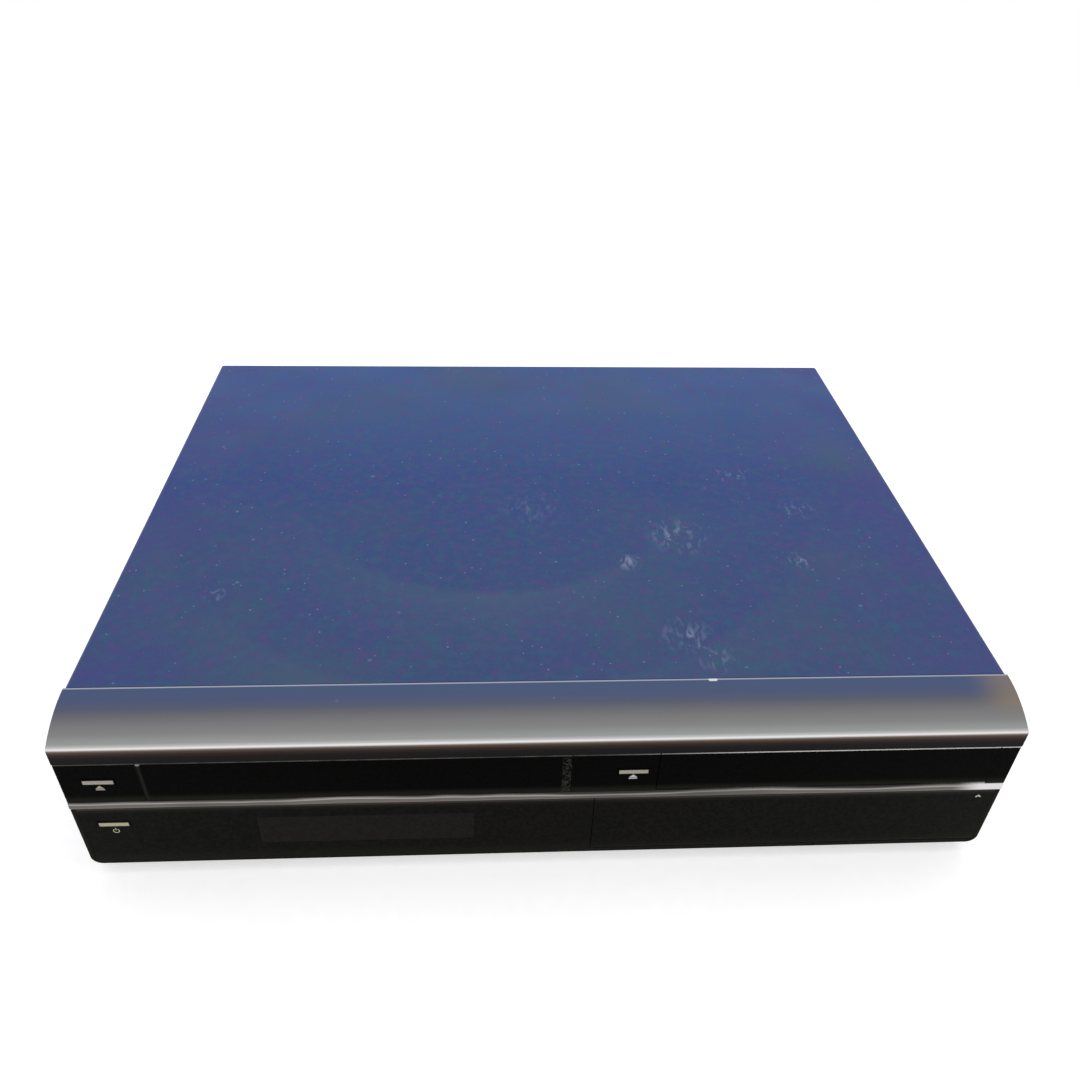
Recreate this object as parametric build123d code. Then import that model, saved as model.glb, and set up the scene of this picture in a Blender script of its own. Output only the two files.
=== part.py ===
from build123d import *
import os
from math import acos, asin, cos, pi, radians, sin, tan

# A combined disc, hard disk and cassette video recorder, in millimetres.
# X runs to the right, Y to the rear and Z up. The origin is on the floor, under the middle.

# Cabinet
WIDTH = 430.0
HEIGHT = 98.0
BODY_DEPTH = 344.0
SOCKET_REACH = 8.0
FOOT_HEIGHT = 8.0
SHEET = 1.0
COVER_BEND = 2.5
COVER_LIP = 13.0
TONGUE = 9.0
FLANGE = 14.0
SEAM = 0.4
CLEAR = 0.3
PIN_CLEAR = 0.06
VENT_LENGTH = 22.0
VENT_WIDTH = 2.6
VENT_PITCH = 7.0
VENT_COLUMNS = 12
VENT_Y = 70.0
FLOOR_VENTS = 7
FLOOR_VENT_X = 176.0
FLOOR_VENT_Y = 30.0
RIB_X = 31.0
RIB_Y = 30.0
RIB_PITCH = 10.0
RIB_LENGTH = 70.0
RIB_WIDTH = 5.0
SCREW_RADIUS = 1.5
SCREW_HEAD = 3.6
SCREW_HEAD_HEIGHT = 1.2
SCREW_LENGTH = 6.0
FOOT_RADIUS = 17.0
PAD_RADIUS = 12.0
PAD_HEIGHT = 3.0
PAD_PROUD = 1.2
FOOT_INSET_X = 45.0
FOOT_INSET_Y = 50.0

# Front moulding, from the top down
VISOR_DEPTH = 28.4
VISOR_DROP = 8.5
VISOR_FACE = 9.2
VISOR_WALL = 2.1
LIP_RADIUS = 0.9
BAND_HEIGHT = 25.2
STRIP_HEIGHT = 4.4
STRIP_SEAT = 1.6
CORNER_RADIUS = 5.0
FACE_SET_BACK = 0.4
BRIGHT_EDGE = 0.7
WALL = 2.4
PLATE = 2.2
FRAME = 2.0
RAIL = 1.6
RAIL_DEPTH = 8.0
LEFT_BAND = 34.4
RIGHT_BAND = 8.8
TRAY_OPENING = 156.8

# Cassette slot, its flap and the door over the front sockets
CASSETTE_WIDTH = 188.0
CASSETTE_HEIGHT = 25.0
CASSETTE_PLAY = 1.5
FLAP_THICKNESS = 2.4
FLAP_AXIS_RISE = 3.4
FLAP_AXIS_DEPTH = 3.8
FLAP_NECK = 1.8
HINGE_PIN = 1.0
EAR = 5.0
DOOR_WIDTH = 191.0
DOOR_THICKNESS = 3.0
DOOR_PIN = 0.8
DOOR_PIN_LENGTH = 4.0
RECESS_DEPTH = 14.0

# Window, buttons and what lies behind them
WINDOW_WIDTH = 100.0
WINDOW_HEIGHT = 19.0
WINDOW_BOTTOM = 22.0
WINDOW_THICKNESS = 1.6
WINDOW_LEDGE = 2.0
BUTTON_WIDTH = 14.8
BUTTON_HEIGHT = 8.6
BUTTON_CORNER = 3.0
BUTTON_PROUD = 0.2
BUTTON_BAR = 2.2
BUTTON_TRAVEL = 0.7
KEY_TRAVEL = 0.5
EJECT_INSET = 16.7
DISC_BUTTON_INSET = 11.2
EJECT_DROP = 1.6
POWER_HEIGHT = 36.2
COLLAR = 1.4
STEM = 1.5
STEM_LENGTH = 1.0
SWITCH_SIDE = 6.0
SWITCH_HEIGHT = 4.3
BOARD = 1.6
POST = 3.0
DISPLAY_DEPTH = 6.0
DISPLAY_PINS = 9

# Recess behind the door
FASCIA = 2.0
KEY_WIDTH = 11.0
KEY_HEIGHT = 5.0
KEY_PITCH = 20.0
KEY_PROUD = 1.4
KEY_DEPTH = 6.4
JACK_RADIUS = 4.15
JACK_PITCH = 14.0
JACK_PROUD = 4.0
JACK_MARGIN = 6.5
JACK_BODY = 10.0
CARD_WIDTH = 26.0
CARD_HEIGHT = 4.0
CARD_DEPTH = 28.0
DV_WIDTH = 7.0
DV_HEIGHT = 4.0
USB_WIDTH = 14.0
USB_HEIGHT = 6.5

# Disc drive
DISC_RADIUS = 60.0
DISC_THICKNESS = 1.2
SMALL_DISC_RADIUS = 40.0
DISC_PLAY = 0.6
DRIVE_HALF = 73.0
DRIVE_WALL = 3.0
DRIVE_LENGTH = 170.0
DECK = 2.0
DECK_DROP = 4.6
TRAY_HALF = 66.0
TRAY_LENGTH = 158.0
TRAY_FLOOR_RISE = 7.4
TRAY_FLOOR = 2.6
TRAY_RIM = 3.4
TRAY_GUIDE = 4.0
TRAY_TRAVEL = 136.0
SLOT_HALF = 24.0
SPINDLE_SET_BACK = 71.0
RACK_INSET = 11.0
RACK_WIDTH = 3.2
RACK_HEIGHT = 3.0
PINION_SET_BACK = 20.0
PINION_TEETH = 18
PINION_MODULE = 1.0
WHEEL_TEETH = 32
SMALL_TEETH = 12
WHEEL_MODULE = 0.8
BACKLASH = 0.16
PULLEY_RADIUS = 6.4
MOTOR_PULLEY_RADIUS = 2.4
BELT = 1.0
BELT_SPAN = 30.0
AXLE = 1.5
MOTOR_RADIUS = 8.0
MOTOR_SET_BACK = 18.0
TURNTABLE_RADIUS = 14.0
HUB_RADIUS = 7.3
CLAMPER_RADIUS = 15.0
RAIL_RADIUS = 1.5
RAIL_SPREAD = 21.0
PICKUP_LENGTH = 26.0
PICKUP_TRAVEL = 34.0
LEAD_SCREW_RADIUS = 1.6
TRAVERSE_HALF = 33.0
TRAVERSE_PIN = 1.2
HDD_WIDTH = 101.6
HDD_LENGTH = 147.0
HDD_HEIGHT = 26.1
HDD_RAISE = 2.0
HDD_FRONT = 50.0

# Cassette deck
DECK_PLATE = 1.2
DECK_PLATE_HEIGHT = 24.0
BASKET_LENGTH = 66.0
BASKET_IN = 30.0
BASKET_DOWN = 20.0
BASKET_SHEET = 0.8
BASKET_PIN = 2.0
SLIDER_HALF = 7.0
LID_DEPTH = 131.0
REEL_SPREAD = 46.0
REEL_TO_LID = 62.5
REEL_MODULE = 1.5
REEL_TEETH = 25
REEL_SHAFT = 2.5
HUB_SLOT = 14.0
DRUM_SET_BACK = 184.0
DRUM_OFFSET = 6.0
DRUM_RADIUS = 31.0
DRUM_RISE = 12.0
DRUM_LOWER = 12.0
DRUM_UPPER = 9.0
DRUM_TILT = 5.97
GUIDE_PATH = 39.0
GUIDE_ROLLER = 2.6
GUIDE_START = 38.0
FLYWHEEL_RADIUS = 26.0
CAPSTAN_RADIUS = 1.5
PINCH_RADIUS = 6.5
PINCH_ARM = 24.0
PINCH_SWING = 20.0
CAM_MODULE = 1.5
CAM_TEETH = 24
IDLER_ARM = 20.0
DECK_PIN = 2.0

# Power supply, boards, fan and rear sockets
BOARD_RAISE = 8.0
FIN_PITCH = 4.0
FAN_SIZE = 60.0
FAN_DEPTH = 15.0
FAN_HUB = 12.0
FAN_BLADES = 7
FAN_X = -52.0
FAN_Z = 50.0
REAR_FOLD = 12.0
GRILLE_RINGS = 3
GRILLE_PITCH = 7.0
JACK_GROUP_X = 20.0
AERIAL_RADIUS = 4.75
AERIAL_PITCH = 17.0
AERIAL_X = -6.0
AERIAL_Z = 36.0

# Places that follow from those sizes
HALF = WIDTH / 2
FRONT_Y = -(BODY_DEPTH + SOCKET_REACH) / 2
REAR_Y = FRONT_Y + BODY_DEPTH
SEAM_Y = FRONT_Y + VISOR_DEPTH
FACE_Y = FRONT_Y + FACE_SET_BACK
WALL_Y = FACE_Y + WALL
FLOOR_Z = FOOT_HEIGHT + SHEET
INNER_HALF = HALF - SHEET - CLEAR
PANEL_Y = REAR_Y - 2 * SHEET

VISOR_RADIUS = (VISOR_DEPTH**2 + VISOR_DROP**2) / (2 * VISOR_DROP)
VISOR_BOTTOM = HEIGHT - VISOR_DROP - VISOR_FACE
BAND_TOP = VISOR_BOTTOM - SEAM
BAND_BOTTOM = BAND_TOP - BAND_HEIGHT
STRIP_TOP = BAND_BOTTOM - 1.5 * SEAM
STRIP_BOTTOM = STRIP_TOP - STRIP_HEIGHT
LOWER_TOP = STRIP_BOTTOM - SEAM

SLOT_LEFT = -HALF + LEFT_BAND
SLOT_RIGHT = SLOT_LEFT + CASSETTE_WIDTH + 2 * CASSETTE_PLAY
SLOT_X = (SLOT_LEFT + SLOT_RIGHT) / 2
TRAY_RIGHT = HALF - RIGHT_BAND
TRAY_LEFT = TRAY_RIGHT - TRAY_OPENING
DRIVE_X = (TRAY_LEFT + TRAY_RIGHT) / 2
DOOR_RIGHT = HALF - FRAME - SEAM / 2
DOOR_LEFT = DOOR_RIGHT - DOOR_WIDTH
WINDOW_X = SLOT_X + 1.0

FLAP_AXIS_Y = FACE_Y + FLAP_AXIS_DEPTH
FLAP_AXIS_Z = BAND_TOP + FLAP_AXIS_RISE
DOOR_AXIS_Y = FACE_Y + DOOR_THICKNESS / 2
DOOR_AXIS_Z = FLOOR_Z + FRAME + SEAM / 2 + DOOR_THICKNESS / 2
RAIL_Z = FLAP_AXIS_Z + FLAP_NECK + 2 * SEAM
FASCIA_Y = WALL_Y + RECESS_DEPTH
SLEEVE_X = (DOOR_LEFT, HALF - WALL)
SLEEVE_Z = (FLOOR_Z + FRAME, LOWER_TOP - 1.2)

DRIVE_Y = (WALL_Y + PLATE + CLEAR, WALL_Y + PLATE + CLEAR + DRIVE_LENGTH)
TRAY_Z = (BAND_BOTTOM + TRAY_FLOOR_RISE, BAND_BOTTOM + TRAY_FLOOR_RISE + TRAY_FLOOR + TRAY_RIM)
DECK_Z = (BAND_BOTTOM - DECK_DROP, BAND_BOTTOM - DECK_DROP + DECK)
SPINDLE_Y = FACE_Y + SPINDLE_SET_BACK

HDD_Y = FACE_Y + HDD_FRONT

DECK_PLATE_Z = (DECK_PLATE_HEIGHT, DECK_PLATE_HEIGHT + DECK_PLATE)
CASSETTE_BACK = FACE_Y + LID_DEPTH
BASKET_PIN_Z = STRIP_TOP + CASSETTE_HEIGHT / 2
DRUM_X = SLOT_X + DRUM_OFFSET
DRUM_Y = FACE_Y + DRUM_SET_BACK
DRUM_Z = DECK_PLATE_Z[1] + DRUM_RISE
DRUM_PLACE = Pos(DRUM_X, DRUM_Y, DRUM_Z) * Rot(-DRUM_TILT, 0, 0)
CAPSTAN = (SLOT_X + 52.0, CASSETTE_BACK + 14.0)
PINCH_PIVOT = (CAPSTAN[0] + PINCH_ARM, CAPSTAN[1] + PINCH_RADIUS + CAPSTAN_RADIUS + CLEAR)
PINCH_PLACE = Pos(*PINCH_PIVOT, 0) * Rot(0, 0, 180 - PINCH_SWING)
IDLER = (SLOT_X, CASSETTE_BACK - REEL_TO_LID - 20.0)

FAN_Y = (PANEL_Y - FAN_DEPTH, PANEL_Y)
INLET = (-HALF + 32.0, 38.0, 22.0, 16.0)
HDMI = (TRAY_LEFT + 92.0, 26.0, 15.0, 5.6)
LAN = (TRAY_LEFT + 118.0, 28.0, 15.6, 13.4)
OPTICAL = (TRAY_LEFT + 142.0, 26.0, 11.0, 11.0)

EJECT_X = -HALF + EJECT_INSET
EJECT_Z = (BAND_TOP + BAND_BOTTOM) / 2 - EJECT_DROP
DISC_BUTTON_X = TRAY_LEFT - DISC_BUTTON_INSET
FRONT_BOARD_X = (-HALF + 2 * WALL, DOOR_LEFT - 2 * WALL)
FRONT_BOARD_Z = (FLOOR_Z + FRAME + 2, LOWER_TOP - 1)
BOARD_POSTS = [
    (FRONT_BOARD_X[0] + 8, FRONT_BOARD_Z[0] + 6),
    (SLOT_X - WINDOW_WIDTH / 2 - 14, FRONT_BOARD_Z[0] + 6),
    (FRONT_BOARD_X[1] - 8, FRONT_BOARD_Z[0] + 6),
    (EJECT_X, BAND_TOP - 4),
    (DISC_BUTTON_X, BAND_TOP - 4),
]


def about(middle, half):
    """The two ends of a stretch that reaches that far each side of its middle."""
    return middle - half, middle + half


def block(x, y, z):
    """A block between the (low, high) pairs x, y and z."""
    centre = Pos((x[0] + x[1]) / 2, (y[0] + y[1]) / 2, (z[0] + z[1]) / 2)
    return centre * Box(x[1] - x[0], y[1] - y[0], z[1] - z[0])


def upright(radius, z, x=0.0, y=0.0):
    """A round bar along Z between the heights z."""
    return Pos(x, y, (z[0] + z[1]) / 2) * Cylinder(radius, z[1] - z[0])


def lengthwise(radius, y, x, z):
    """A round bar along Y."""
    return Pos(x, (y[0] + y[1]) / 2, z) * Rot(90, 0, 0) * Cylinder(radius, y[1] - y[0])


def crosswise(radius, x, y, z):
    """A round bar along X."""
    return Pos((x[0] + x[1]) / 2, y, z) * Rot(0, 90, 0) * Cylinder(radius, x[1] - x[0])


def turned(points):
    """A piece turned about Z from its (radius, height) outline."""
    return revolve(Plane.XZ * make_face(Polyline(*points, close=True)), Axis.Z)


def plate_at(outline, y, thickness):
    """A flat outline in X and Z, set upright with its front at y."""
    return extrude(Plane(origin=(0, y, 0), x_dir=(1, 0, 0), z_dir=(0, -1, 0)) * outline, -thickness)


# Cabinet

CHASSIS_FRONT = WALL_Y + PLATE
SIDE_SCREW_PLACES = [(side, y) for side in (-1, 1) for y in (SEAM_Y + 45.0, REAR_Y - 45.0)]
REAR_SCREW_PLACES = [-0.8 * HALF, 0.0, 0.8 * HALF]
SIDE_SCREW_Z = FLOOR_Z + 8.0
REAR_SCREW_Z = HEIGHT - 7.0
TONGUE_TOP = HEIGHT - VISOR_WALL - CLEAR - TONGUE**2 / (2 * (VISOR_RADIUS - VISOR_WALL))
TONGUE_Z = (TONGUE_TOP - SHEET, TONGUE_TOP)
FOOT_PLACES = [
    (side * (HALF - FOOT_INSET_X), y)
    for side in (-1, 1)
    for y in (FRONT_Y + FOOT_INSET_Y, REAR_Y - FOOT_INSET_Y)
]


def top_cover():
    """A folded steel sheet: the top, both sides with their vents, and a lip down the rear."""
    y = (SEAM_Y + SEAM, REAR_Y)
    shell = block((-HALF, HALF), y, (FOOT_HEIGHT, HEIGHT))
    shell = fillet(shell.edges().filter_by(Axis.Y).group_by(Axis.Z)[-1], COVER_BEND)
    inside = block((-HALF + SHEET, HALF - SHEET), (y[0] - 1, y[1] - SHEET), (0, HEIGHT - SHEET))
    inside = fillet(inside.edges().filter_by(Axis.Y).group_by(Axis.Z)[-1], COVER_BEND - SHEET)
    shell -= inside
    shell -= block((-INNER_HALF, INNER_HALF), (REAR_Y - SHEET - 1, REAR_Y + 1), (0, HEIGHT - COVER_LIP))
    # The front edge steps down by one sheet and lies under the visor.
    tongue_x = (-HALF + 2 * VISOR_WALL, HALF - 2 * VISOR_WALL)
    shell += block(tongue_x, (SEAM_Y - TONGUE, SEAM_Y + 4), TONGUE_Z)
    shell += block(tongue_x, (SEAM_Y + 3, SEAM_Y + 4), (TONGUE_Z[0], HEIGHT - SHEET / 2))
    slot = Box(6 * SHEET, VENT_WIDTH, VENT_LENGTH)
    for column in range(VENT_COLUMNS):
        vent_y = VENT_Y + (column - (VENT_COLUMNS - 1) / 2) * VENT_PITCH
        for row in (-1, 1):
            vent_z = (HEIGHT + FOOT_HEIGHT) / 2 + row * (VENT_LENGTH / 2 + 3)
            shell -= [Pos(side * HALF, vent_y, vent_z) * slot for side in (-1, 1)]
    for side, screw_y in SIDE_SCREW_PLACES:
        shell -= crosswise(SCREW_RADIUS + CLEAR, (side * HALF - 3, side * HALF + 3), screw_y, SIDE_SCREW_Z)
    for x in REAR_SCREW_PLACES:
        shell -= lengthwise(SCREW_RADIUS + CLEAR, (REAR_Y - 2 * SHEET, REAR_Y + 1), x, REAR_SCREW_Z)
    return shell


def screw(length):
    """A flat-topped screw that points down, with its seat at z = 0."""
    return upright(SCREW_HEAD, (0, SCREW_HEAD_HEIGHT)) + upright(SCREW_RADIUS, (-length, 0))


def cover_screws():
    sides = [
        Pos(side * HALF, y, SIDE_SCREW_Z) * Rot(0, side * 90, 0) * screw(SCREW_LENGTH)
        for side, y in SIDE_SCREW_PLACES
    ]
    rear = [Pos(x, REAR_Y, REAR_SCREW_Z) * Rot(-90, 0, 0) * screw(SCREW_LENGTH) for x in REAR_SCREW_PLACES]
    return Compound(sides + rear)


def bottom_chassis():
    """The pressed steel pan, with its flanges, stiffening ribs, vents and screw holes."""
    pan = block((-INNER_HALF, INNER_HALF), (CHASSIS_FRONT, PANEL_Y), (FOOT_HEIGHT, FLOOR_Z))
    for side in (-1, 1):
        flange_x = sorted((side * INNER_HALF, side * (INNER_HALF - SHEET)))
        pan += block(flange_x, (SEAM_Y + CLEAR, PANEL_Y), (FOOT_HEIGHT, FLOOR_Z + FLANGE))
    for x in (-RIB_PITCH, 0.0, RIB_PITCH):
        rib = Pos(RIB_X + x, RIB_Y, 0) * Rot(0, 0, 90)
        raised = rib * SlotOverall(RIB_LENGTH + 2 * SHEET, RIB_WIDTH + 2 * SHEET)
        pan += Pos(0, 0, FLOOR_Z) * extrude(raised, SHEET)
        pan -= Pos(0, 0, FOOT_HEIGHT - SHEET) * extrude(rib * SlotOverall(RIB_LENGTH, RIB_WIDTH), 2 * SHEET)
    vent = Box(VENT_WIDTH, VENT_LENGTH, 4 * SHEET)
    for side in (-1, 1):
        for column in range(FLOOR_VENTS):
            vent_x = side * FLOOR_VENT_X + (column - (FLOOR_VENTS - 1) / 2) * VENT_PITCH
            pan -= Pos(vent_x, FLOOR_VENT_Y, FLOOR_Z) * vent
    for side, y in SIDE_SCREW_PLACES:
        pan -= crosswise(SCREW_RADIUS + CLEAR / 2, about(side * INNER_HALF, 3), y, SIDE_SCREW_Z)
    return pan


def feet():
    """Moulded feet with a tapered side and a recess for the pad."""
    outline = [
        (0, PAD_HEIGHT),
        (PAD_RADIUS + CLEAR, PAD_HEIGHT),
        (PAD_RADIUS + CLEAR, PAD_PROUD),
        (FOOT_RADIUS, PAD_PROUD),
        (FOOT_RADIUS + 1.0, FOOT_HEIGHT),
        (0, FOOT_HEIGHT),
    ]
    return Compound([Pos(x, y, 0) * turned(outline) for x, y in FOOT_PLACES])


def foot_pads():
    """The soft discs that the cabinet stands on."""
    return Compound([upright(PAD_RADIUS, (0, PAD_HEIGHT), x, y) for x, y in FOOT_PLACES])


def visor_section(inset):
    """The visor's outline in Y and Z; an inset outline runs out at the rear and the bottom."""
    middle = HEIGHT - VISOR_RADIUS
    radius = VISOR_RADIUS - inset
    front = FRONT_Y + inset
    turn = asin((SEAM_Y - front) / radius)
    top = (SEAM_Y, middle + radius)
    crown = (SEAM_Y - radius * sin(turn / 2), middle + radius * cos(turn / 2))
    lip = (front, middle + radius * cos(turn))
    rear = SEAM_Y + inset
    bottom = VISOR_BOTTOM - inset
    edge = Polyline(lip, (front, bottom), (rear, bottom), (rear, top[1]))
    sides = [ThreePointArc(top, crown, lip), edge]
    if inset:
        sides.append(Line((rear, top[1]), top))
    return make_face(sides)


def front_visor():
    """The hollow visor over the front: a curved top, an upright face, end walls and ribs."""
    plane = Plane(origin=(0, 0, 0), x_dir=(0, 1, 0), z_dir=(1, 0, 0))
    body = extrude(plane * visor_section(0), HALF, both=True)
    lip = body.edges().filter_by(Axis.X).group_by(Axis.Y)[0].sort_by(Axis.Z)[-1]
    body = fillet(lip, LIP_RADIUS)
    body -= extrude(plane * visor_section(VISOR_WALL), HALF - VISOR_WALL, both=True)
    ribs = extrude(plane * visor_section(VISOR_WALL / 2), VISOR_WALL / 2, both=True)
    ribs &= block((-HALF, HALF), (FRONT_Y, WALL_Y + RAIL_DEPTH), (RAIL_Z + RAIL, HEIGHT))
    return body + [Pos(x, 0, 0) * ribs for x in (SLOT_X, (SLOT_RIGHT + TRAY_LEFT) / 2, DRIVE_X)]


def trim_strip():
    """The bright strip across the whole front, with softened edges."""
    strip = block((-HALF, HALF), (FRONT_Y, FACE_Y + STRIP_SEAT), (STRIP_BOTTOM, STRIP_TOP))
    return fillet(strip.edges().filter_by(Axis.X).group_by(Axis.Y)[0], STRIP_SEAT / 2)


# Front moulding, flap, door and buttons

EJECT = (EJECT_X, EJECT_Z)
DISC_BUTTON = (DISC_BUTTON_X, EJECT_Z)
POWER = (EJECT_X, POWER_HEIGHT)
PANEL_Z = (FLOOR_Z + FRAME + SEAM / 2, LOWER_TOP)
BEZEL_BACK = WALL_Y + PLATE
SWITCH_Y = BEZEL_BACK + COLLAR + STEM_LENGTH + BUTTON_TRAVEL + 0.1
BOARD_Y = SWITCH_Y + SWITCH_HEIGHT


def button_outline(play):
    """A key with a straight top and rounded lower corners, larger all round by the play."""
    shape = Rectangle(BUTTON_WIDTH + 2 * play, BUTTON_HEIGHT + 2 * play)
    return fillet(shape.vertices().group_by(Axis.Y)[0], BUTTON_CORNER + play)


def button_hole(place):
    outline = Pos(place[0], place[1]) * button_outline(SEAM / 2)
    return plate_at(outline, FACE_Y - 1, WALL + PLATE + 2)


def board_posts(places):
    """Square posts on the back of the moulding, which the boards rest on."""
    return [block((x - POST, x + POST), (BEZEL_BACK - 0.5, BOARD_Y), (z - POST, z + POST)) for x, z in places]


def front_bezel():
    """The moulding that holds the front together, with an opening for each piece that passes it."""
    shell = block((-HALF, HALF), (FACE_Y, SEAM_Y), (FLOOR_Z, VISOR_BOTTOM))
    shell = fillet(shell.edges().filter_by(Axis.Y).group_by(Axis.Z)[0], CORNER_RADIUS)
    inside = block((-HALF + WALL, HALF - WALL), (BEZEL_BACK, SEAM_Y + 1), (FLOOR_Z + FRAME, VISOR_BOTTOM + 1))
    shell -= inside
    seat = (FACE_Y - 1, FACE_Y + STRIP_SEAT)
    shell -= block((-HALF - 1, HALF + 1), seat, (BAND_TOP, VISOR_BOTTOM + 1))
    edge = shell.edges().filter_by(Axis.X).group_by(Axis.Y)[0]
    shell = chamfer([e for e in edge if abs(e.center().Z - BAND_TOP) < SEAM / 4], BRIGHT_EDGE)
    shell -= block((-HALF - 1, HALF + 1), seat, (LOWER_TOP, STRIP_TOP + SEAM / 2))
    pocket_z = (FLOOR_Z + FRAME, STRIP_BOTTOM)
    shell -= block((-HALF + FRAME, HALF - FRAME), (FACE_Y - 1, WALL_Y), pocket_z)
    door_y = (FACE_Y - 1, FACE_Y + DOOR_THICKNESS + CLEAR)
    shell -= block((DOOR_LEFT - SEAM, HALF - FRAME), door_y, pocket_z)
    # The slot for cassettes, and the walls beside it with the flap's pins.
    shell -= block((SLOT_LEFT, SLOT_RIGHT), (FACE_Y - 1, SEAM_Y), (STRIP_TOP, VISOR_BOTTOM + 1))
    for side, x in ((-1, SLOT_LEFT), (1, SLOT_RIGHT)):
        shell += block(sorted((x, x + side * PLATE)), (WALL_Y, SEAM_Y), (STRIP_BOTTOM, RAIL_Z + RAIL))
        shell += crosswise(HINGE_PIN, sorted((x - side * EAR, x + side * PLATE)), FLAP_AXIS_Y, FLAP_AXIS_Z)
    # Posts beside the slots carry a rail under the visor.
    for x in ((-HALF + 2 * WALL, SLOT_LEFT), (SLOT_RIGHT, TRAY_LEFT), (TRAY_RIGHT, HALF - 2 * WALL)):
        shell += block(x, (WALL_Y, BEZEL_BACK), (VISOR_BOTTOM - 1, RAIL_Z))
    shell += block(about(0, HALF - 2 * WALL), (WALL_Y, WALL_Y + RAIL_DEPTH), (RAIL_Z, RAIL_Z + RAIL))
    # The tray's front lies in a recess, and the tray passes an opening in the wall behind it.
    shell -= block((TRAY_LEFT, TRAY_RIGHT), (FACE_Y - 1, WALL_Y + CLEAR), (STRIP_TOP, VISOR_BOTTOM + 1))
    tray_x = (DRIVE_X - TRAY_HALF - 1, DRIVE_X + TRAY_HALF + 1)
    tray_z = (TRAY_Z[0] - RACK_HEIGHT - 1, TRAY_Z[1] + 2 * DISC_THICKNESS)
    shell -= block(tray_x, (FACE_Y - 1, BEZEL_BACK + 1), tray_z)
    window = (WINDOW_X - WINDOW_WIDTH / 2 + 1, WINDOW_X + WINDOW_WIDTH / 2 - 1)
    sight = (WINDOW_BOTTOM + 1, WINDOW_BOTTOM + WINDOW_HEIGHT - 1)
    shell -= block(window, (WALL_Y - 1, BEZEL_BACK + 1), sight)
    # A sleeve behind the door leads back to the sockets.
    shell += block(SLEEVE_X, (BEZEL_BACK - 1, FASCIA_Y), SLEEVE_Z)
    hollow_x = (SLEEVE_X[0] + FRAME, SLEEVE_X[1] - FRAME)
    shell -= block(hollow_x, (FACE_Y - 1, FASCIA_Y + 1), (SLEEVE_Z[0] + FRAME, SLEEVE_Z[1] - FRAME))
    shell -= [button_hole(place) for place in (EJECT, DISC_BUTTON, POWER)]
    shell += board_posts(BOARD_POSTS)
    pin_x = (DOOR_RIGHT - DOOR_PIN_LENGTH, HALF - FRAME)
    return shell + crosswise(DOOR_PIN, pin_x, DOOR_AXIS_Y, DOOR_AXIS_Z)


def lower_panel():
    """The glossy panel below the strip, with its window ledge and power button hole."""
    left = -HALF + FRAME + SEAM / 2
    panel = block((left, DOOR_LEFT - SEAM), (FACE_Y, WALL_Y), PANEL_Z)
    for inset, depth in ((0.0, WINDOW_THICKNESS), (WINDOW_LEDGE, WALL + 1)):
        x = (WINDOW_X - WINDOW_WIDTH / 2 + inset, WINDOW_X + WINDOW_WIDTH / 2 - inset)
        z = (WINDOW_BOTTOM + inset, WINDOW_BOTTOM + WINDOW_HEIGHT - inset)
        panel -= block(x, (FACE_Y - 1, FACE_Y + depth), z)
    panel -= button_hole(POWER)
    pin_x = (DOOR_LEFT - 3 * SEAM, DOOR_LEFT + DOOR_PIN_LENGTH)
    return panel + crosswise(DOOR_PIN, pin_x, DOOR_AXIS_Y, DOOR_AXIS_Z)


def display_window():
    """The smoked window in front of the display."""
    play = SEAM / 4
    x = (WINDOW_X - WINDOW_WIDTH / 2 + play, WINDOW_X + WINDOW_WIDTH / 2 - play)
    z = (WINDOW_BOTTOM + play, WINDOW_BOTTOM + WINDOW_HEIGHT - play)
    return block(x, (FACE_Y, FACE_Y + WINDOW_THICKNESS), z)


def access_door():
    """The door over the front sockets: a panel whose lower edge is rounded about its hinge."""
    x = (DOOR_LEFT, DOOR_RIGHT)
    door = block(x, (FACE_Y, FACE_Y + DOOR_THICKNESS), (DOOR_AXIS_Z, LOWER_TOP))
    door += crosswise(DOOR_THICKNESS / 2, x, DOOR_AXIS_Y, DOOR_AXIS_Z)
    hollow_x = (x[0] + 2 * DOOR_PIN_LENGTH, x[1] - 2 * DOOR_PIN_LENGTH)
    hollow_z = (DOOR_AXIS_Z + DOOR_THICKNESS, LOWER_TOP - DOOR_THICKNESS)
    door -= block(hollow_x, (FACE_Y + DOOR_THICKNESS / 2, WALL_Y + WALL), hollow_z)
    for end in x:
        bore = (end - DOOR_PIN_LENGTH - CLEAR, end + DOOR_PIN_LENGTH + CLEAR)
        door -= crosswise(DOOR_PIN + PIN_CLEAR, bore, DOOR_AXIS_Y, DOOR_AXIS_Z)
    return door


def cassette_flap():
    """The flap of the cassette slot, hung from ears on two pins behind the visor."""
    x = (SLOT_LEFT + SEAM, SLOT_RIGHT - SEAM)
    flap = block(x, (FACE_Y, FACE_Y + FLAP_THICKNESS), (BAND_BOTTOM, BAND_TOP))
    front_top = flap.edges().filter_by(Axis.X).group_by(Axis.Y)[0].sort_by(Axis.Z)[-1]
    flap = chamfer(front_top, BRIGHT_EDGE)
    for side, edge in ((-1, x[0]), (1, x[1])):
        ear_x = sorted((edge, edge - side * (EAR - SEAM)))
        ear_y = (FRONT_Y + VISOR_WALL + CLEAR, FLAP_AXIS_Y + FLAP_NECK)
        flap += block(ear_x, ear_y, (BAND_TOP - 2 * FLAP_NECK, FLAP_AXIS_Z))
        flap += crosswise(FLAP_NECK, ear_x, FLAP_AXIS_Y, FLAP_AXIS_Z)
        flap -= crosswise(HINGE_PIN + PIN_CLEAR, (ear_x[0] - 1, ear_x[1] + 1), FLAP_AXIS_Y, FLAP_AXIS_Z)
    return flap


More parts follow.
